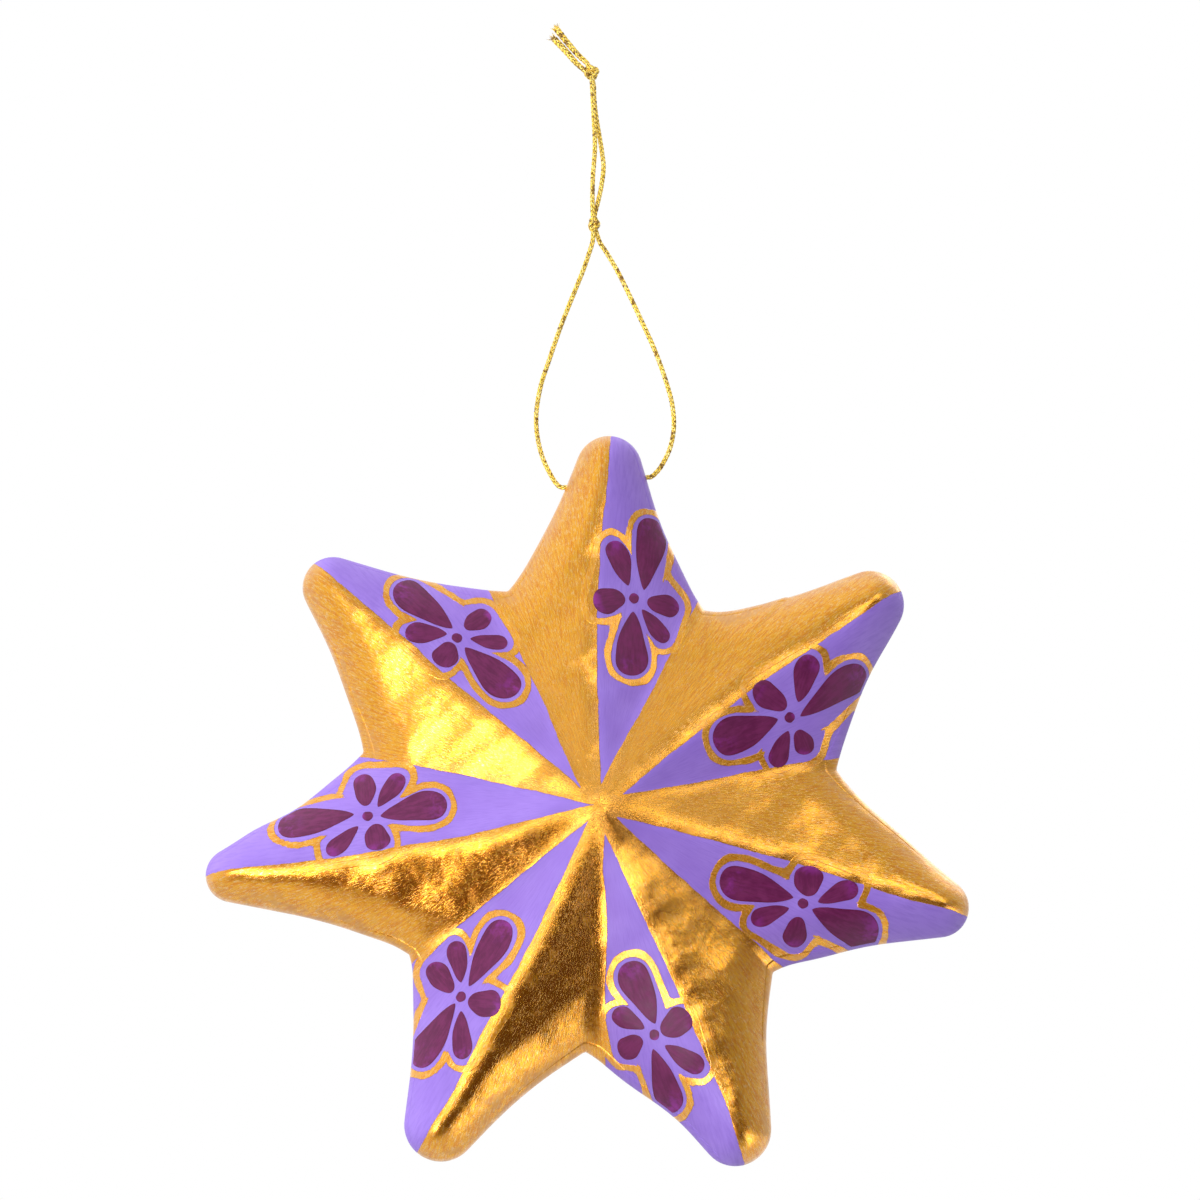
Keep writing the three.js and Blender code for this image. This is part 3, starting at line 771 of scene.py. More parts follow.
def paint(piece, plan):
    """Puts the painted pattern's fields onto a piece's points, and the brush's way onto its face corners.

    The brush went out from the apex. The vector is the distance from there and the bearing as an arc of a
    fixed radius, which starts again at the top arm's crest.
    """
    for name, values in paint_fields(plan).items():
        add_field(piece, name, values)
    add_field(piece, "rim", distance_inside(plan))
    mesh = piece.data
    corner_point = np.empty(len(mesh.loops), dtype=np.int32)
    mesh.loops.foreach_get("vertex_index", corner_point)
    sizes = np.empty(len(mesh.polygons), dtype=np.int32)
    mesh.polygons.foreach_get("loop_total", sizes)
    face_of_corner = np.repeat(np.arange(len(sizes)), sizes)
    centre = np.stack([np.bincount(face_of_corner, plan[corner_point, k]) / sizes for k in range(2)], -1)
    start = math.radians(ARMS[0]["bearing"])
    of_face = (np.arctan2(centre[:, 0], centre[:, 1]) - start) % (2 * np.pi)
    bearing = np.arctan2(plan[corner_point, 0], plan[corner_point, 1]) - start
    bearing += 2 * np.pi * np.round((of_face[face_of_corner] - bearing) / (2 * np.pi))
    radius = np.hypot(plan[corner_point, 0], plan[corner_point, 1])
    brush = np.stack([radius, BRUSH_ARC_RADIUS * bearing, np.zeros(len(radius))], -1)
    layer = mesh.attributes.new("brush", "FLOAT_VECTOR", "CORNER")
    layer.data.foreach_set("vector", brush.astype(np.float32).ravel())


# Star pieces

def half_shell(name, side, node):
    """A half shell of pasted paper, as rings round the apex.

    They run over the outer face from the apex down to the strip, over a step under the strip and the seam
    face, and up the cavity's roof to a point under the apex.
    """
    seam = SEAM_GAP / 2
    step = STRIP_HALF_WIDTH - STRIP_LAP
    face_reach = reach_at_distance(RIM_ROLL)
    edge_distance = distance_inside(band_row(step, side, 0))
    plans = []
    heights = []
    for share in (np.arange(1, FACE_ROWS + 1) / FACE_ROWS) ** 0.94:
        plans.append(polar(bearings, share * face_reach))
        heights.append(outer_height(plans[-1], side))
    for k in range(ROLL_ROWS - 1, 0, -1):
        share = 1 - math.cos(k / ROLL_ROWS * math.pi / 2)
        plans.append(polar(bearings, reach_at_distance(edge_distance + (RIM_ROLL - edge_distance) * share)))
        heights.append(outer_height(plans[-1], side))
    for height, inset in ((step, 0), (step, STRIP_THICKNESS), (seam, STRIP_THICKNESS)):
        plans.append(band_row(height, side, inset))
        heights.append(np.full(bearings.shape, height))
    wall_depth = WALL * math.hypot(1, FLANK_FALL)
    for share in (0, 0.35, 0.7, 1):
        inwards = (RIM_ROLL - WALL) * (1 - math.cos(share * math.pi / 2))
        plans.append(polar(bearings, reach_at_distance(WALL + inwards)))
        roll = roll_factor(distance_inside(plans[-1]) - WALL, RIM_ROLL - WALL)
        heights.append(np.maximum((roof_height(plans[-1]) - wall_depth) * roll, seam))
    for share in (0.75, 0.5, 0.25):
        plans.append(polar(bearings, share * face_reach))
        heights.append(roof_height(plans[-1]) - wall_depth)
    origin = np.zeros((1, 2))
    plan = np.concatenate([*plans, origin, origin])
    height = np.concatenate([*heights, outer_height(origin, side), roof_height(origin) - wall_depth])
    rows, columns = len(plans), len(bearings)
    top, bottom = end_faces(rows, columns, rows * columns, rows * columns + 1)
    faces = grid_faces(rows, columns).tolist() + top.tolist() + bottom.tolist()
    if side < 0:
        faces = [face[::-1] for face in faces]
    piece = make_piece(name, in_part_frame(plan, height, side), faces, "star")
    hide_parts(node)
    paint(piece, plan)
    return piece


def seam_strip():
    """The pasted paper strip over the seam.

    Its outer face stands a hair proud and thins out at both edges, where it laps over the half shells, and
    its inner face lies in their step.
    """
    edge = STRIP_HALF_WIDTH
    lap = edge - STRIP_LAP
    levels = np.linspace(-edge, edge, 17)
    outer = [(level, STRIP_PROUD * (1 - max(0, abs(level) - lap) / STRIP_LAP)) for level in levels]
    inner = [(edge, -0.03), (lap - 0.06, -0.06), (lap - 0.08, 0.03 - STRIP_THICKNESS)]
    inner = inner + [(0.0, 0.03 - STRIP_THICKNESS)] + [(-level, proud) for level, proud in inner[::-1]]
    plans = []
    heights = []
    for level, proud in outer + inner:
        plans.append(band_row(abs(level), -1 if level < 0 else 1, -proud))
        heights.append(np.full(bearings.shape, level))
    plan = np.concatenate(plans)
    faces = grid_faces(len(plans), len(bearings), close_rows=True)[:, ::-1]
    points = in_part_frame(plan, np.concatenate(heights), 1)
    piece = make_piece("pasted_strip", points, faces, "star")
    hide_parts("seam_strip")
    paint(piece, plan)
    return piece


def kept_inside(plan):
    """Plan points that lie too near the outline, or past it, moved square to it to a set distance inside."""
    for _ in range(3):
        nudge = 0.02
        here = distance_inside(plan)
        slope = np.stack([
            distance_inside(plan + (nudge, 0)) - distance_inside(plan - (nudge, 0)),
            distance_inside(plan + (0, nudge)) - distance_inside(plan - (0, nudge)),
        ], -1) / (2 * nudge)
        plan = plan + slope * np.maximum(EDGE_CLEARANCE - here, 0)[..., None]
    return plan


def on_surface(plan, side, lift):
    """Points lifted off the outer face along its normal, which comes from the slopes of its height."""
    nudge = 0.04
    height = outer_height(plan, side)
    slope_x = (outer_height(plan + (nudge, 0), side) - outer_height(plan - (nudge, 0), side)) / (2 * nudge)
    slope_z = (outer_height(plan + (0, nudge), side) - outer_height(plan - (0, nudge), side)) / (2 * nudge)
    normal = np.stack([-slope_x, np.full(height.shape, float(side)), -slope_z], -1)
    normal /= np.linalg.norm(normal, axis=-1, keepdims=True)
    over_strip = STRIP_PROUD * np.clip((STRIP_HALF_WIDTH + 0.2 - height) / STRIP_LAP, 0, 1)
    return in_part_frame(plan, height, side) + normal * (lift + over_strip)[..., None]


def petal_paint(name, side):
    """The petals and dots of all the flowers on one face, as films of thick paint.

    Along a petal its middle line is straight but for a sine's bend, and across it the film is a flat loop:
    thickest in the middle, thinner at its edges, and with its underside sunk in the paper.
    """
    chance = np.random.default_rng(21)
    t = (1 - np.cos(np.linspace(0, np.pi, PETAL_ROWS + 2))) / 2
    upper = -np.cos(np.linspace(0, np.pi, PETAL_COLUMNS))
    across = np.concatenate([upper, upper[-2:0:-2]])
    sunk = np.full(len(across) - len(upper), -PETAL_PAINT_THICKNESS)
    lift = np.concatenate([PETAL_PAINT_THICKNESS * (0.5 + 0.5 * np.sqrt(1 - upper**2)), sunk])
    columns = len(across)
    grid = grid_faces(PETAL_ROWS, columns)
    points, faces, strokes, shares, edges = [], [], [], [], []
    for arm, flower in zip(arms, FLOWERS):
        outwards, clockwise = arm["axis"], np.array([arm["axis"][1], -arm["axis"][0]])
        for petal, form in zip([*flower["petals"], DOT], PETAL_FORMS):
            base, end = (np.array(point) + flower["middle"] for point in petal[:2])
            length = np.hypot(*(end - base))
            forward = (end - base) / length
            sideways = np.array([-forward[1], forward[0]])
            bend, first, second, number = chance.uniform(-1, 1, 4)
            half = petal_half_widths(t, petal[2], form)[:, None]
            wobble = 1 + 0.05 * np.sin(9 * t[:, None] + 3 * first + 2 * across) + 0.03 * second * across
            off = half * wobble * across + PETAL_BEND * bend * length / 12 * np.sin(np.pi * t[:, None])
            local = base + (t * length)[:, None, None] * forward + off[..., None] * sideways
            plan = kept_inside(local[..., :1] * outwards + local[..., 1:] * clockwise)
            film = on_surface(plan, side, np.broadcast_to(lift, off.shape))
            start = len(points) * (PETAL_ROWS * columns + 2)
            last = start + PETAL_ROWS * columns
            closing = end_faces(PETAL_ROWS, columns, last - start, last - start + 1)
            faces += [face for part in (grid, *closing) for face in (part + start).tolist()]
            ends = film[[0, -1], 0]
            points.append(np.concatenate([film[1:-1].reshape(-1, 3), ends]))
            along = np.broadcast_to((t * length)[:, None], off.shape)
            stroke = np.stack([along, off, np.full(off.shape, 20.0 * number)], -1)
            strokes.append(np.concatenate([stroke[1:-1].reshape(-1, 3), stroke[[0, -1], 0]]))
            shares.append(np.concatenate([np.repeat(t[1:-1], columns), [0, 1]]))
            edges.append(np.concatenate([np.tile(across, PETAL_ROWS), [1, 1]]))
    if side < 0:
        faces = [face[::-1] for face in faces]
    piece = make_piece(name, np.concatenate(points), faces, "star")
    add_field(piece, "petal_share", np.concatenate(shares))
    add_field(piece, "petal_across", np.concatenate(edges))
    layer = piece.data.attributes.new("stroke", "FLOAT_VECTOR", "POINT")
    layer.data.foreach_set("vector", np.concatenate(strokes).astype(np.float32).ravel())


def awl_hole():
    """A rod along the crossing, which is taken out of the top arm's tip.

    Its section is a circle with two small sine waves round it, so that it is a little oval and uneven.
    """
    tilt = math.radians(CROSSING_TILT)
    direction = np.array([math.cos(tilt), 0, math.sin(tilt)])
    up = np.array([-math.sin(tilt), 0, math.cos(tilt)])
    turn = np.arange(HOLE_SIDES) / HOLE_SIDES * 2 * np.pi
    radius = HOLE_DIAMETER / 2 * (1 + 0.05 * np.sin(2 * turn + 0.6) + 0.03 * np.sin(5 * turn))
    ring = radius[:, None] * (np.cos(turn)[:, None] * up + np.sin(turn)[:, None] * np.array([0, 1, 0]))
    middle = np.array([CROSSING_X, 0, CROSSING_Z])
    ends = [middle + direction * reach for reach in (-ROD_REACH, ROD_REACH)]
    points = np.concatenate([ends[0] + ring, ends[1] + ring, ends])
    start, end = end_faces(2, HOLE_SIDES, 2 * HOLE_SIDES, 2 * HOLE_SIDES + 1)
    sides = grid_faces(2, HOLE_SIDES)
    faces = [face[::-1] for face in sides.tolist() + start.tolist() + end.tolist()]
    mesh = bpy.data.meshes.new("awl_hole")
    mesh.from_pydata((points * METRES).tolist(), [], faces)
    rod = bpy.data.objects.new("awl_hole", mesh)
    bpy.context.scene.collection.objects.link(rod)
    return rod


def pierce(pieces, rod):
    """Takes the rod out of each piece, and keeps the cut meshes."""
    for piece in pieces:
        cut = piece.modifiers.new("hole", "BOOLEAN")
        cut.operation = "DIFFERENCE"
        cut.solver = "MANIFOLD"
        cut.object = rod
    view_layer = bpy.context.view_layer
    view_layer.update()
    for piece in pieces:
        whole = piece.data
        cut_mesh = bpy.data.meshes.new_from_object(piece.evaluated_get(view_layer.depsgraph))
        piece.modifiers.clear()
        piece.data = cut_mesh
        name = whole.name
        bpy.data.meshes.remove(whole)
        cut_mesh.name = name
    bpy.data.objects.remove(rod)


star_front = half_shell("star_front", -1, "front_shell")
star_back = half_shell("star_back", 1, "back_shell")
pasted_strip = seam_strip()
pierce([star_front, star_back, pasted_strip], awl_hole())
petal_paint("petals_front", -1)
petal_paint("petals_back", 1)


# Materials

def in_light(red, green, blue):
    """A colour as seen on a screen, from 0 to 255, as the amounts of light a shader takes."""
    share = np.array([red, green, blue]) / 255
    light = np.where(share <= 0.04045, share / 12.92, ((share + 0.055) / 1.055) ** 2.4)
    return (*light.tolist(), 1.0)


class Finish:
    """A material under construction: adds nodes and joins each to the values or sockets that feed it."""

    def __init__(self, name):
        self.material = bpy.data.materials.new(name)
        self.material.use_nodes = True
        self.tree = self.material.node_tree
        self.shader = self.tree.nodes["Principled BSDF"]

    def add(self, kind, inputs, **settings):
        """A node of a kind, with its settings and what feeds its inputs."""
        node = self.tree.nodes.new(kind)
        for key, value in settings.items():
            setattr(node, key, value)
        for key, value in inputs.items():
            self.feed(node.inputs[key], value)
        return node

    def feed(self, socket, value):
        """Joins a socket to another one, or sets its value."""
        if isinstance(value, bpy.types.NodeSocket):
            self.tree.links.new(value, socket)
        else:
            socket.default_value = value

    def field(self, name):
        """A number that is kept on the piece's points."""
        return self.add("ShaderNodeAttribute", {}, attribute_name=name).outputs["Fac"]

    def vector(self, name):
        """A vector that is kept on the piece."""
        return self.add("ShaderNodeAttribute", {}, attribute_name=name).outputs["Vector"]

    def place(self):
        """Where a point lies on the piece, in metres."""
        return self.add("ShaderNodeTexCoord", {}).outputs["Object"]

    def maths(self, operation, *values):
        """A sum or the like of numbers."""
        node = self.tree.nodes.new("ShaderNodeMath")
        node.operation = operation
        for socket, value in zip(node.inputs, values):
            self.feed(socket, value)
        return node.outputs[0]

    def stretch(self, vector, scale):
        """A vector times one factor for each axis."""
        return self.add("ShaderNodeMapping", {"Vector": vector, "Scale": scale}).outputs[0]

    def noise(self, vector, scale, detail=2.0, roughness=0.5, distortion=0.0):
        """An uneven field from 0 to 1."""
        inputs = {"Vector": vector, "Scale": scale, "Detail": detail, "Roughness": roughness}
        return self.add("ShaderNodeTexNoise", {**inputs, "Distortion": distortion}).outputs["Fac"]

    def between(self, value, low, high, to_low=0.0, to_high=1.0):
        """A soft step from one number to another as a value goes from low to high."""
        inputs = {"Value": value, "From Min": low, "From Max": high, "To Min": to_low, "To Max": to_high}
        return self.add("ShaderNodeMapRange", inputs, interpolation_type="SMOOTHSTEP").outputs[0]

    def mix(self, share, first, second):
        """A colour between two."""
        node = self.tree.nodes.new("ShaderNodeMix")
        node.data_type = "RGBA"
        for index, value in ((0, share), (6, first), (7, second)):
            self.feed(node.inputs[index], value)
        return node.outputs[2]

    def blend(self, share, first, second):
        """A number between two."""
        node = self.tree.nodes.new("ShaderNodeMix")
        for index, value in ((0, share), (2, first), (3, second)):
            self.feed(node.inputs[index], value)
        return node.outputs[0]

    def set(self, **inputs):
        """Feeds the shader's sockets, which are named with _ for a space."""
        for key, value in inputs.items():
            self.feed(self.shader.inputs[key.replace("_", " ")], value)


# Colours as they look in plain light, set by comparing renders with the photograph
GOLD_PAINT = in_light(243, 173, 30)
GOLD_PAINT_DEEP = in_light(228, 143, 14)
PALE_GOLD_AND_GLINT = in_light(244, 208, 150)
THIN_GOLD_AND_RIM_SHEEN = in_light(192, 142, 86)
LAVENDER = in_light(140, 107, 205)
LAVENDER_DEEP = in_light(130, 97, 196)
LAVENDER_PALE = in_light(152, 121, 214)
AUBERGINE = in_light(108, 32, 84)
AUBERGINE_DEEP = in_light(90, 22, 68)
AUBERGINE_EDGE = in_light(88, 18, 50)
MAGENTA = in_light(138, 42, 142)


def painted_paper():
    """Paint on pasted paper: gold flanks, lavender flanks and the gold outlines of the flowers.

    The fields on the points say how far each place is inside a colour. A slow and a ragged noise are added
    to them before they become masks, so that edges wander as a brush does. Strokes are noise squeezed across
    the brush's way and drawn out along it. The gold has fine pale specks along the brush's way, slightly
    raised, whose pale tone is also a painted glint. Where the gold is thin, in patches and near edges, it
    turns to a dull tan, and the tan band near the rim is both thin paint and a painted sheen of the rolled
    rim.
    """
    f = Finish("painted_paper")
    place = f.place()
    brush = f.vector("brush")
    ragged = f.maths("SUBTRACT", f.noise(place, 1100, 2.0, 0.6), 0.5)
    slow = f.maths("SUBTRACT", f.noise(place, 220, 1.0, 0.5), 0.5)
    strokes = f.noise(f.stretch(brush, (0.35, 3.2, 1.0)), 1.0, 3.0, 0.6, 0.3)
    flecks_and_glints = f.noise(f.stretch(brush, (1.3, 6.5, 1.0)), 1.0, 2.0, 0.6, 0.2)
    wrinkles = f.noise(f.stretch(brush, (1.1, 4.2, 1.0)), 1.0, 3.0, 0.6, 0.3)
    crumple = f.noise(place, 190, 2.0, 0.5)
    patches = f.noise(place, 110, 3.0, 0.6)
    cloud = f.noise(place, 330, 4.0, 0.68, 0.8)

    wander = f.maths("ADD", f.maths("MULTIPLY", ragged, 0.25), f.maths("MULTIPLY", slow, 0.5))
    lavender_edge = f.maths("ADD", f.field("lavender"), wander)
    is_lavender = f.between(lavender_edge, -0.05, 0.05)
    off_line = f.maths("ABSOLUTE", f.maths("ADD", f.field("lobes"), f.maths("MULTIPLY", slow, 0.6)))
    line_edge = f.maths("ADD", f.maths("SUBTRACT", LINE_HALF_WIDTH, off_line), wander)
    is_line = f.between(line_edge, -0.05, 0.05)

    uneven = f.maths("SUBTRACT", patches, 0.5)
    dry = f.between(f.maths("ADD", cloud, f.maths("MULTIPLY", uneven, 0.5)), 0.5, 0.7, 0.0, 0.16)
    # A tan band near the rim: thin paint there, and also a painted sheen of the rolled rim seen edge-on.
    to_rim = f.maths("ADD", f.field("rim"), f.maths("MULTIPLY", uneven, 8.0))
    at_rim = f.between(to_rim, 4.0, 0.0, 0.0, 0.55)
    at_edge = f.between(f.field("lavender"), -2.6, -0.2, 0.0, 0.25)
    at_side = f.maths("MULTIPLY", f.maths("MAXIMUM", at_rim, at_edge), f.between(cloud, 0.6, 0.42, 0.05, 1.0))
    # Thin gold turns to a dull tan. In patches and near lavender edges this is thin paint; near the rim it is
    # also a painted sheen.
    thin_paint_and_rim_sheen = f.maths("MAXIMUM", dry, at_side)
    gold_tone = f.mix(f.between(strokes, 0.35, 0.6), GOLD_PAINT_DEEP, GOLD_PAINT)
    # Pale specks along the brush's way: specks of the gold paint, whose pale tone is also a painted glint.
    gold_tone = f.mix(f.between(flecks_and_glints, 0.5, 0.68, 0.0, 0.6), gold_tone, PALE_GOLD_AND_GLINT)
    gold = f.mix(thin_paint_and_rim_sheen, gold_tone, THIN_GOLD_AND_RIM_SHEEN)

    lavender_tone = f.mix(f.between(patches, 0.3, 0.7, 0.0, 0.7), LAVENDER, LAVENDER_PALE)
    lavender = f.mix(f.between(strokes, 0.6, 0.3, 0.0, 0.6), lavender_tone, LAVENDER_DEEP)
    f.set(Base_Color=f.mix(is_lavender, gold, f.mix(is_line, lavender, gold)))
    is_gold = f.maths("MAXIMUM", f.maths("SUBTRACT", 1.0, is_lavender), is_line)
    flat_paint = f.maths("ADD", f.maths("MULTIPLY", thin_paint_and_rim_sheen, 0.6), f.maths("MULTIPLY", is_line, 0.25))
    metal = f.maths("MULTIPLY", is_gold, f.maths("SUBTRACT", 0.97, flat_paint))
    f.set(Metallic=metal)
    gold_rough = f.maths("ADD", f.between(cloud, 0.3, 0.7, 0.17, 0.26), f.maths("MULTIPLY", thin_paint_and_rim_sheen, 0.35))
    f.set(Roughness=f.blend(is_gold, 0.5, gold_rough), Specular_IOR_Level=0.45)
    f.set(Coat_Weight=f.maths("MULTIPLY", metal, 0.6), Coat_Roughness=0.25)

    sparks = f.between(flecks_and_glints, 0.5, 0.68)
    height = f.maths("MULTIPLY", crumple, f.blend(is_gold, 0.00012, 0.0003))
    height = f.maths("ADD", height, f.maths("MULTIPLY", wrinkles, f.blend(is_gold, 0.000012, 0.000026)))
    height = f.maths("ADD", height, f.maths("MULTIPLY", strokes, 0.000012))
    height = f.maths("ADD", height, f.maths("MULTIPLY", f.maths("MULTIPLY", sparks, is_gold), 0.000007))
    height = f.maths("ADD", height, f.maths("MULTIPLY", is_line, 0.00003))
    bump = f.add("ShaderNodeBump", {"Height": height, "Distance": 1.0, "Strength": 1.0})
    f.set(Normal=bump.outputs[0], Coat_Normal=bump.outputs[0])
    return f.material


def petal_finish():
    """Thick aubergine paint: streaked along each petal, redder at its edge, magenta and painted highlight at
    its end.
    """
    f = Finish("petal_paint")
    strokes = f.noise(f.stretch(f.vector("stroke"), (0.4, 2.5, 1.0)), 1.0, 3.0, 0.6)
    cloud = f.noise(f.place(), 420, 4.0, 0.65)
    tone = f.mix(f.between(f.blend(0.5, strokes, cloud), 0.38, 0.62), AUBERGINE_DEEP, AUBERGINE)
    # Magenta towards the far end: a tone of the paint, and also a painted highlight of its gloss.
    far_end = f.between(f.field("petal_share"), 0.6, 0.98)
    streaky = f.between(f.noise(f.place(), 380, 3.0, 0.7), 0.45, 0.66)
    tone = f.mix(f.maths("MULTIPLY", f.maths("MULTIPLY", far_end, streaky), 0.75), tone, MAGENTA)
    edge = f.between(f.maths("ABSOLUTE", f.field("petal_across")), 0.88, 0.97, 0.0, 0.7)
    f.set(Base_Color=f.mix(edge, tone, AUBERGINE_EDGE), Roughness=f.between(cloud, 0.3, 0.7, 0.4, 0.55))
    f.set(Specular_IOR_Level=0.25)
    height = f.maths("ADD", f.maths("MULTIPLY", strokes, 0.000012), f.maths("MULTIPLY", cloud, 0.00005))
    bump = f.add("ShaderNodeBump", {"Height": height, "Distance": 1.0, "Strength": 1.0})
    f.set(Normal=bump.outputs[0])
    return f.material


def gold_cord():
    """Metallised yarn: bright on the stitches' crowns, with painted shade in the gaps and fine painted
    glints.
    """
    f = Finish("gold_cord")
    relief = f.field("relief")
    glints = f.noise(f.place(), 4200, 2.0, 0.7)
    patches = f.noise(f.place(), 1100, 2.0, 0.6)
    # Painted shade: the tone darkens where the relief is low, in the gaps between the stitches.
    tone = f.mix(f.between(relief, 0.35, 0.75), in_light(104, 62, 8), in_light(255, 214, 70))
    # Painted glints: pale specks from a fine noise.
    tone = f.mix(f.between(glints, 0.5, 0.62, 0.0, 0.85), tone, in_light(255, 244, 170))
    tone = f.mix(f.between(patches, 0.54, 0.62, 0.0, 0.85), tone, in_light(112, 68, 10))
    f.set(Base_Color=tone, Metallic=0.5, Roughness=f.between(glints, 0.3, 0.7, 0.22, 0.4))
    height = f.maths("MULTIPLY", glints, 0.00006)
    bump = f.add("ShaderNodeBump", {"Height": height, "Distance": 1.0, "Strength": 0.8})
    f.set(Normal=bump.outputs[0])
    return f.material


def put_on(material, names):
    """Gives every mesh piece of these names the material."""
    for piece in bpy.data.objects:
        if piece.type == "MESH" and piece.name in names:
            piece.data.materials.clear()
            piece.data.materials.append(material)


STAR_PIECES = {"star_front", "star_back", "pasted_strip", "front_shell", "back_shell", "seam_strip"}
PETAL_PIECES = {"petals_front", "petals_back"}
put_on(painted_paper(), STAR_PIECES)
put_on(petal_finish(), PETAL_PIECES)
put_on(gold_cord(), {piece.name for piece in bpy.data.objects} - STAR_PIECES - PETAL_PIECES)


# Floor, world and lamps

def make_floor():
    """A pale floor far below the hanging star and behind it, which fades to the white background."""
    mesh = bpy.data.meshes.new("floor")
    mesh.from_pydata([(-4, -0.15, -0.9), (4, -0.15, -0.9), (4, 5, -0.9), (-4, 5, -0.9)], [], [(0, 1, 2, 3)])
    floor = bpy.data.objects.new("floor", mesh)
    bpy.context.scene.collection.objects.link(floor)
    f = Finish("pale_floor")
    f.set(Base_Color=in_light(188, 188, 188), Roughness=0.8)
    away = f.add("ShaderNodeVectorMath", {0: f.place()}, operation="LENGTH").outputs["Value"]
    forwards = f.add("ShaderNodeSeparateXYZ", {0: f.place()}).outputs["Y"]
    seen = f.add("ShaderNodeLightPath", {})
    shown = f.maths("MAXIMUM", seen.outputs["Is Camera Ray"], seen.outputs["Is Glossy Ray"])
    shown = f.maths("MAXIMUM", shown, seen.outputs["Is Transmission Ray"])
    near_end = f.maths("MULTIPLY", f.between(forwards, 0.25, -0.12), seen.outputs["Is Camera Ray"])
    faded = f.maths("MAXIMUM", f.maths("MULTIPLY", f.between(away, 1.0, 3.2), shown), near_end)
    white = f.add("ShaderNodeEmission", {"Color": (1, 1, 1, 1), "Strength": 1.0})
    both = f.add("ShaderNodeMixShader", {0: faded, 1: f.shader.outputs[0], 2: white.outputs[0]})
    f.tree.links.new(both.outputs[0], f.tree.nodes["Material Output"].inputs[0])
    mesh.materials.append(f.material)


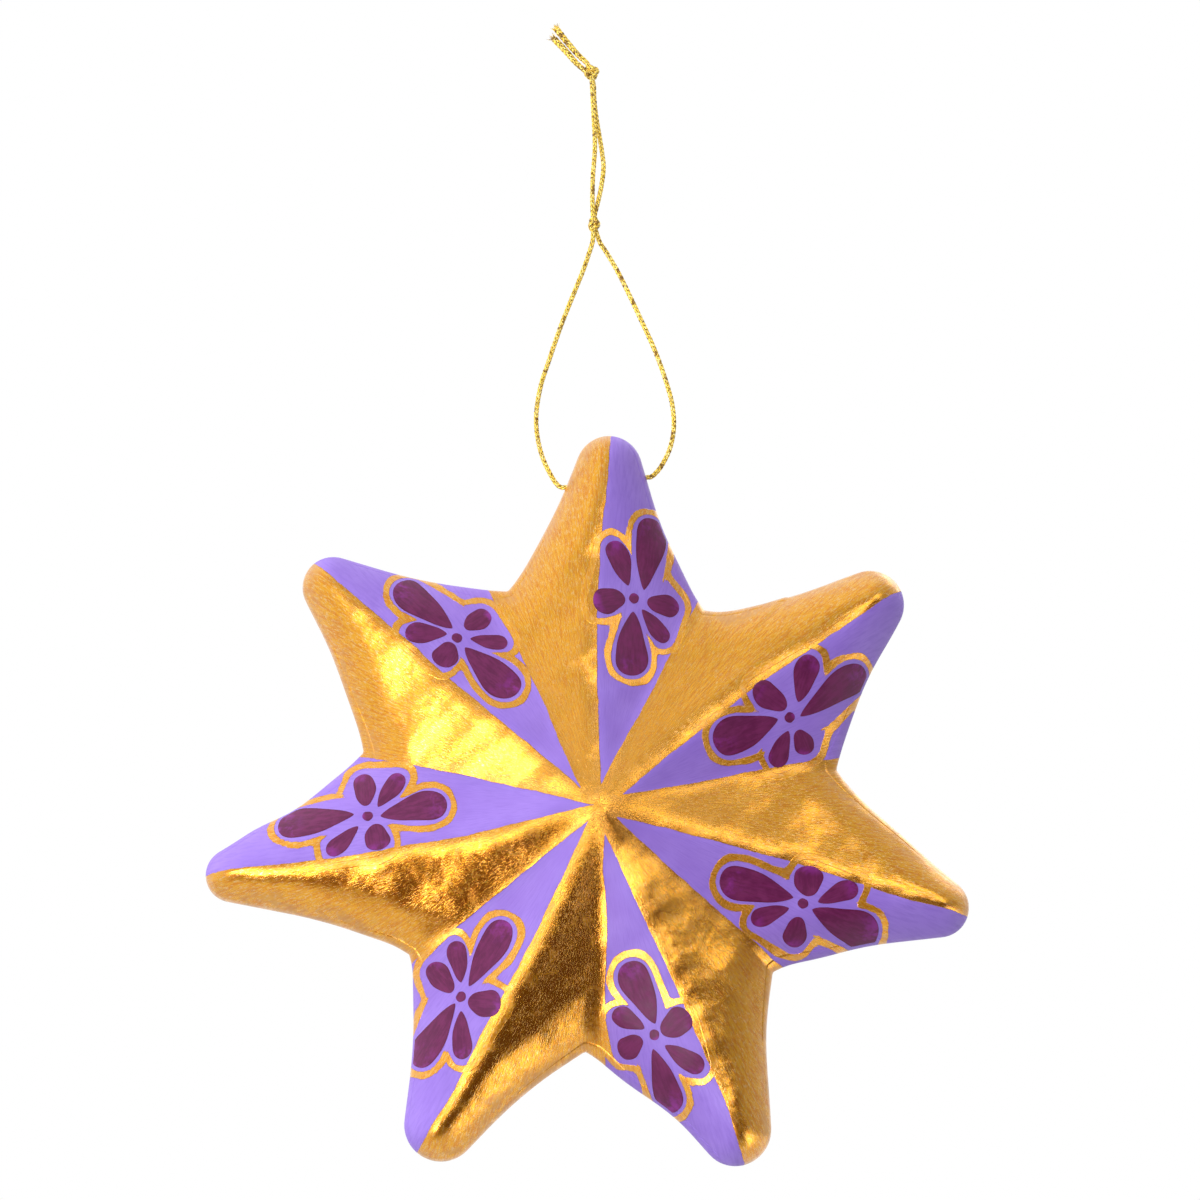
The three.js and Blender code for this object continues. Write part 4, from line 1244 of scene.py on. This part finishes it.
def make_world():
    """White where the camera looks past the ornament, and a shaped room where the ornament mirrors it.

    The mirrored room isn't the white that the camera sees. It is brightest behind the ornament and to its
    left, with a glow beyond white near the key lamp and a dark brown corner low on the right of the camera.
    The soft light comes mostly from the upper left, and some of it from behind.
    """
    world = bpy.data.worlds.new("studio")
    world.use_nodes = True
    bpy.context.scene.world = world
    tree = world.node_tree
    seen = tree.nodes.new("ShaderNodeLightPath")
    direction = tree.nodes.new("ShaderNodeTexCoord")

    def room(towards, darkest, brightest, low, high):
        """Light that changes evenly with how nearly a ray goes towards a direction."""
        facing = tree.nodes.new("ShaderNodeVectorMath")
        facing.operation = "DOT_PRODUCT"
        facing.inputs[1].default_value = towards
        tree.links.new(direction.outputs["Generated"], facing.inputs[0])
        light = tree.nodes.new("ShaderNodeMapRange")
        stretch = {"From Min": darkest, "From Max": brightest, "To Min": low, "To Max": high}
        for name, value in stretch.items():
            light.inputs[name].default_value = value
        tree.links.new(facing.outputs["Value"], light.inputs["Value"])
        return light.outputs[0]

    def choose(share, first, second):
        """The first light, or by share the second, which is white where none is given."""
        node = tree.nodes.new("ShaderNodeMix")
        tree.links.new(share, node.inputs[0])
        tree.links.new(first, node.inputs[2])
        if second is None:
            node.inputs[3].default_value = 1.0
        else:
            tree.links.new(second, node.inputs[3])
        return node.outputs[0]

    def maths(operation, first, second):
        """One number out of two."""
        node = tree.nodes.new("ShaderNodeMath")
        node.operation = operation
        tree.links.new(first, node.inputs[0])
        tree.links.new(second, node.inputs[1])
        return node.outputs[0]

    mirrored = maths("MAXIMUM", seen.outputs["Is Glossy Ray"], seen.outputs["Is Transmission Ray"])
    soft_light = maths("MAXIMUM", room(*SOFT_LIGHT), room(*BACKDROP_LIGHT))
    shaded_room = maths("MULTIPLY", room(*MIRRORED_ROOM), room(*DARK_CORNER))
    mirrored_room = maths("MAXIMUM", shaded_room, room(*KEY_GLOW))
    light = choose(mirrored, soft_light, mirrored_room)
    strength = choose(seen.outputs["Is Camera Ray"], light, None)
    brown = maths("MULTIPLY", room(*DARK_CORNER[:3], 0.0, 1.0), mirrored)
    tint = tree.nodes.new("ShaderNodeMix")
    tint.data_type = "RGBA"
    tree.links.new(brown, tint.inputs[0])
    tint.inputs[6].default_value = (1, 1, 1, 1)
    tint.inputs[7].default_value = CORNER_TINT
    sky = tree.nodes["Background"]
    tree.links.new(strength, sky.inputs["Strength"])
    tree.links.new(tint.outputs[2], sky.inputs["Color"])


# For each: a direction, the stretch along it over which the light changes, and the light at its two ends
SOFT_LIGHT = ((-0.643, 0.0, 0.766), -0.05, 1.0, 0.0, 2.6)
BACKDROP_LIGHT = ((0.0, 1.0, 0.0), 0.0, 0.4, 0.0, 1.3)
MIRRORED_ROOM = ((-0.75, 0.6, 0.27), -1.0, 0.6, 0.3, 1.0)
DARK_CORNER = ((0.36, -0.66, -0.66), 0.52, 0.88, 1.0, 0.26)
KEY_GLOW = ((-0.62, -0.69, -0.37), 0.85, 1.0, 0, 2.3)
CORNER_TINT = (1.0, 0.52, 0.22, 1.0)
LAMP_AIM = (0.0, 0.0, -0.1)
# For each lamp: its clock bearing, angle off the front view's axis, distance, size, roll and watts
LAMPS = {
    "key": (231, 43, 0.9, (0.3, 0.3), 0, 2.5),
    "right": (58, 54, 1.0, (0.5, 0.5), 0, 1.2),
    "side": (125, 85, 1.0, (0.5, 0.5), 0, 1.3),
    "front": (0, 1, 1.1, (1.35, 0.5), 14, 5.0),
    "back": (40, 140, 1.2, (0.6, 0.6), 0, 1.2),
}


def make_lamps():
    """Soft rectangular lamps round the ornament, each facing it."""
    for name, (bearing, off_axis, distance, size, roll, watts) in LAMPS.items():
        out, turn = math.radians(off_axis), math.radians(bearing)
        away = Vector((math.sin(turn) * math.sin(out), -math.cos(out), math.cos(turn) * math.sin(out)))
        data = bpy.data.lights.new(name, "AREA")
        data.energy = watts
        data.shape = "RECTANGLE"
        data.size, data.size_y = size
        light = bpy.data.objects.new(name, data)
        light.location = Vector(LAMP_AIM) + away * distance
        rolled = Quaternion((0, 0, 1), math.radians(roll))
        light.rotation_euler = (away.to_track_quat("Z", "Y") @ rolled).to_euler()
        bpy.context.scene.collection.objects.link(light)


make_floor()
make_world()
make_lamps()
bpy.context.scene.view_settings.view_transform = "Standard"
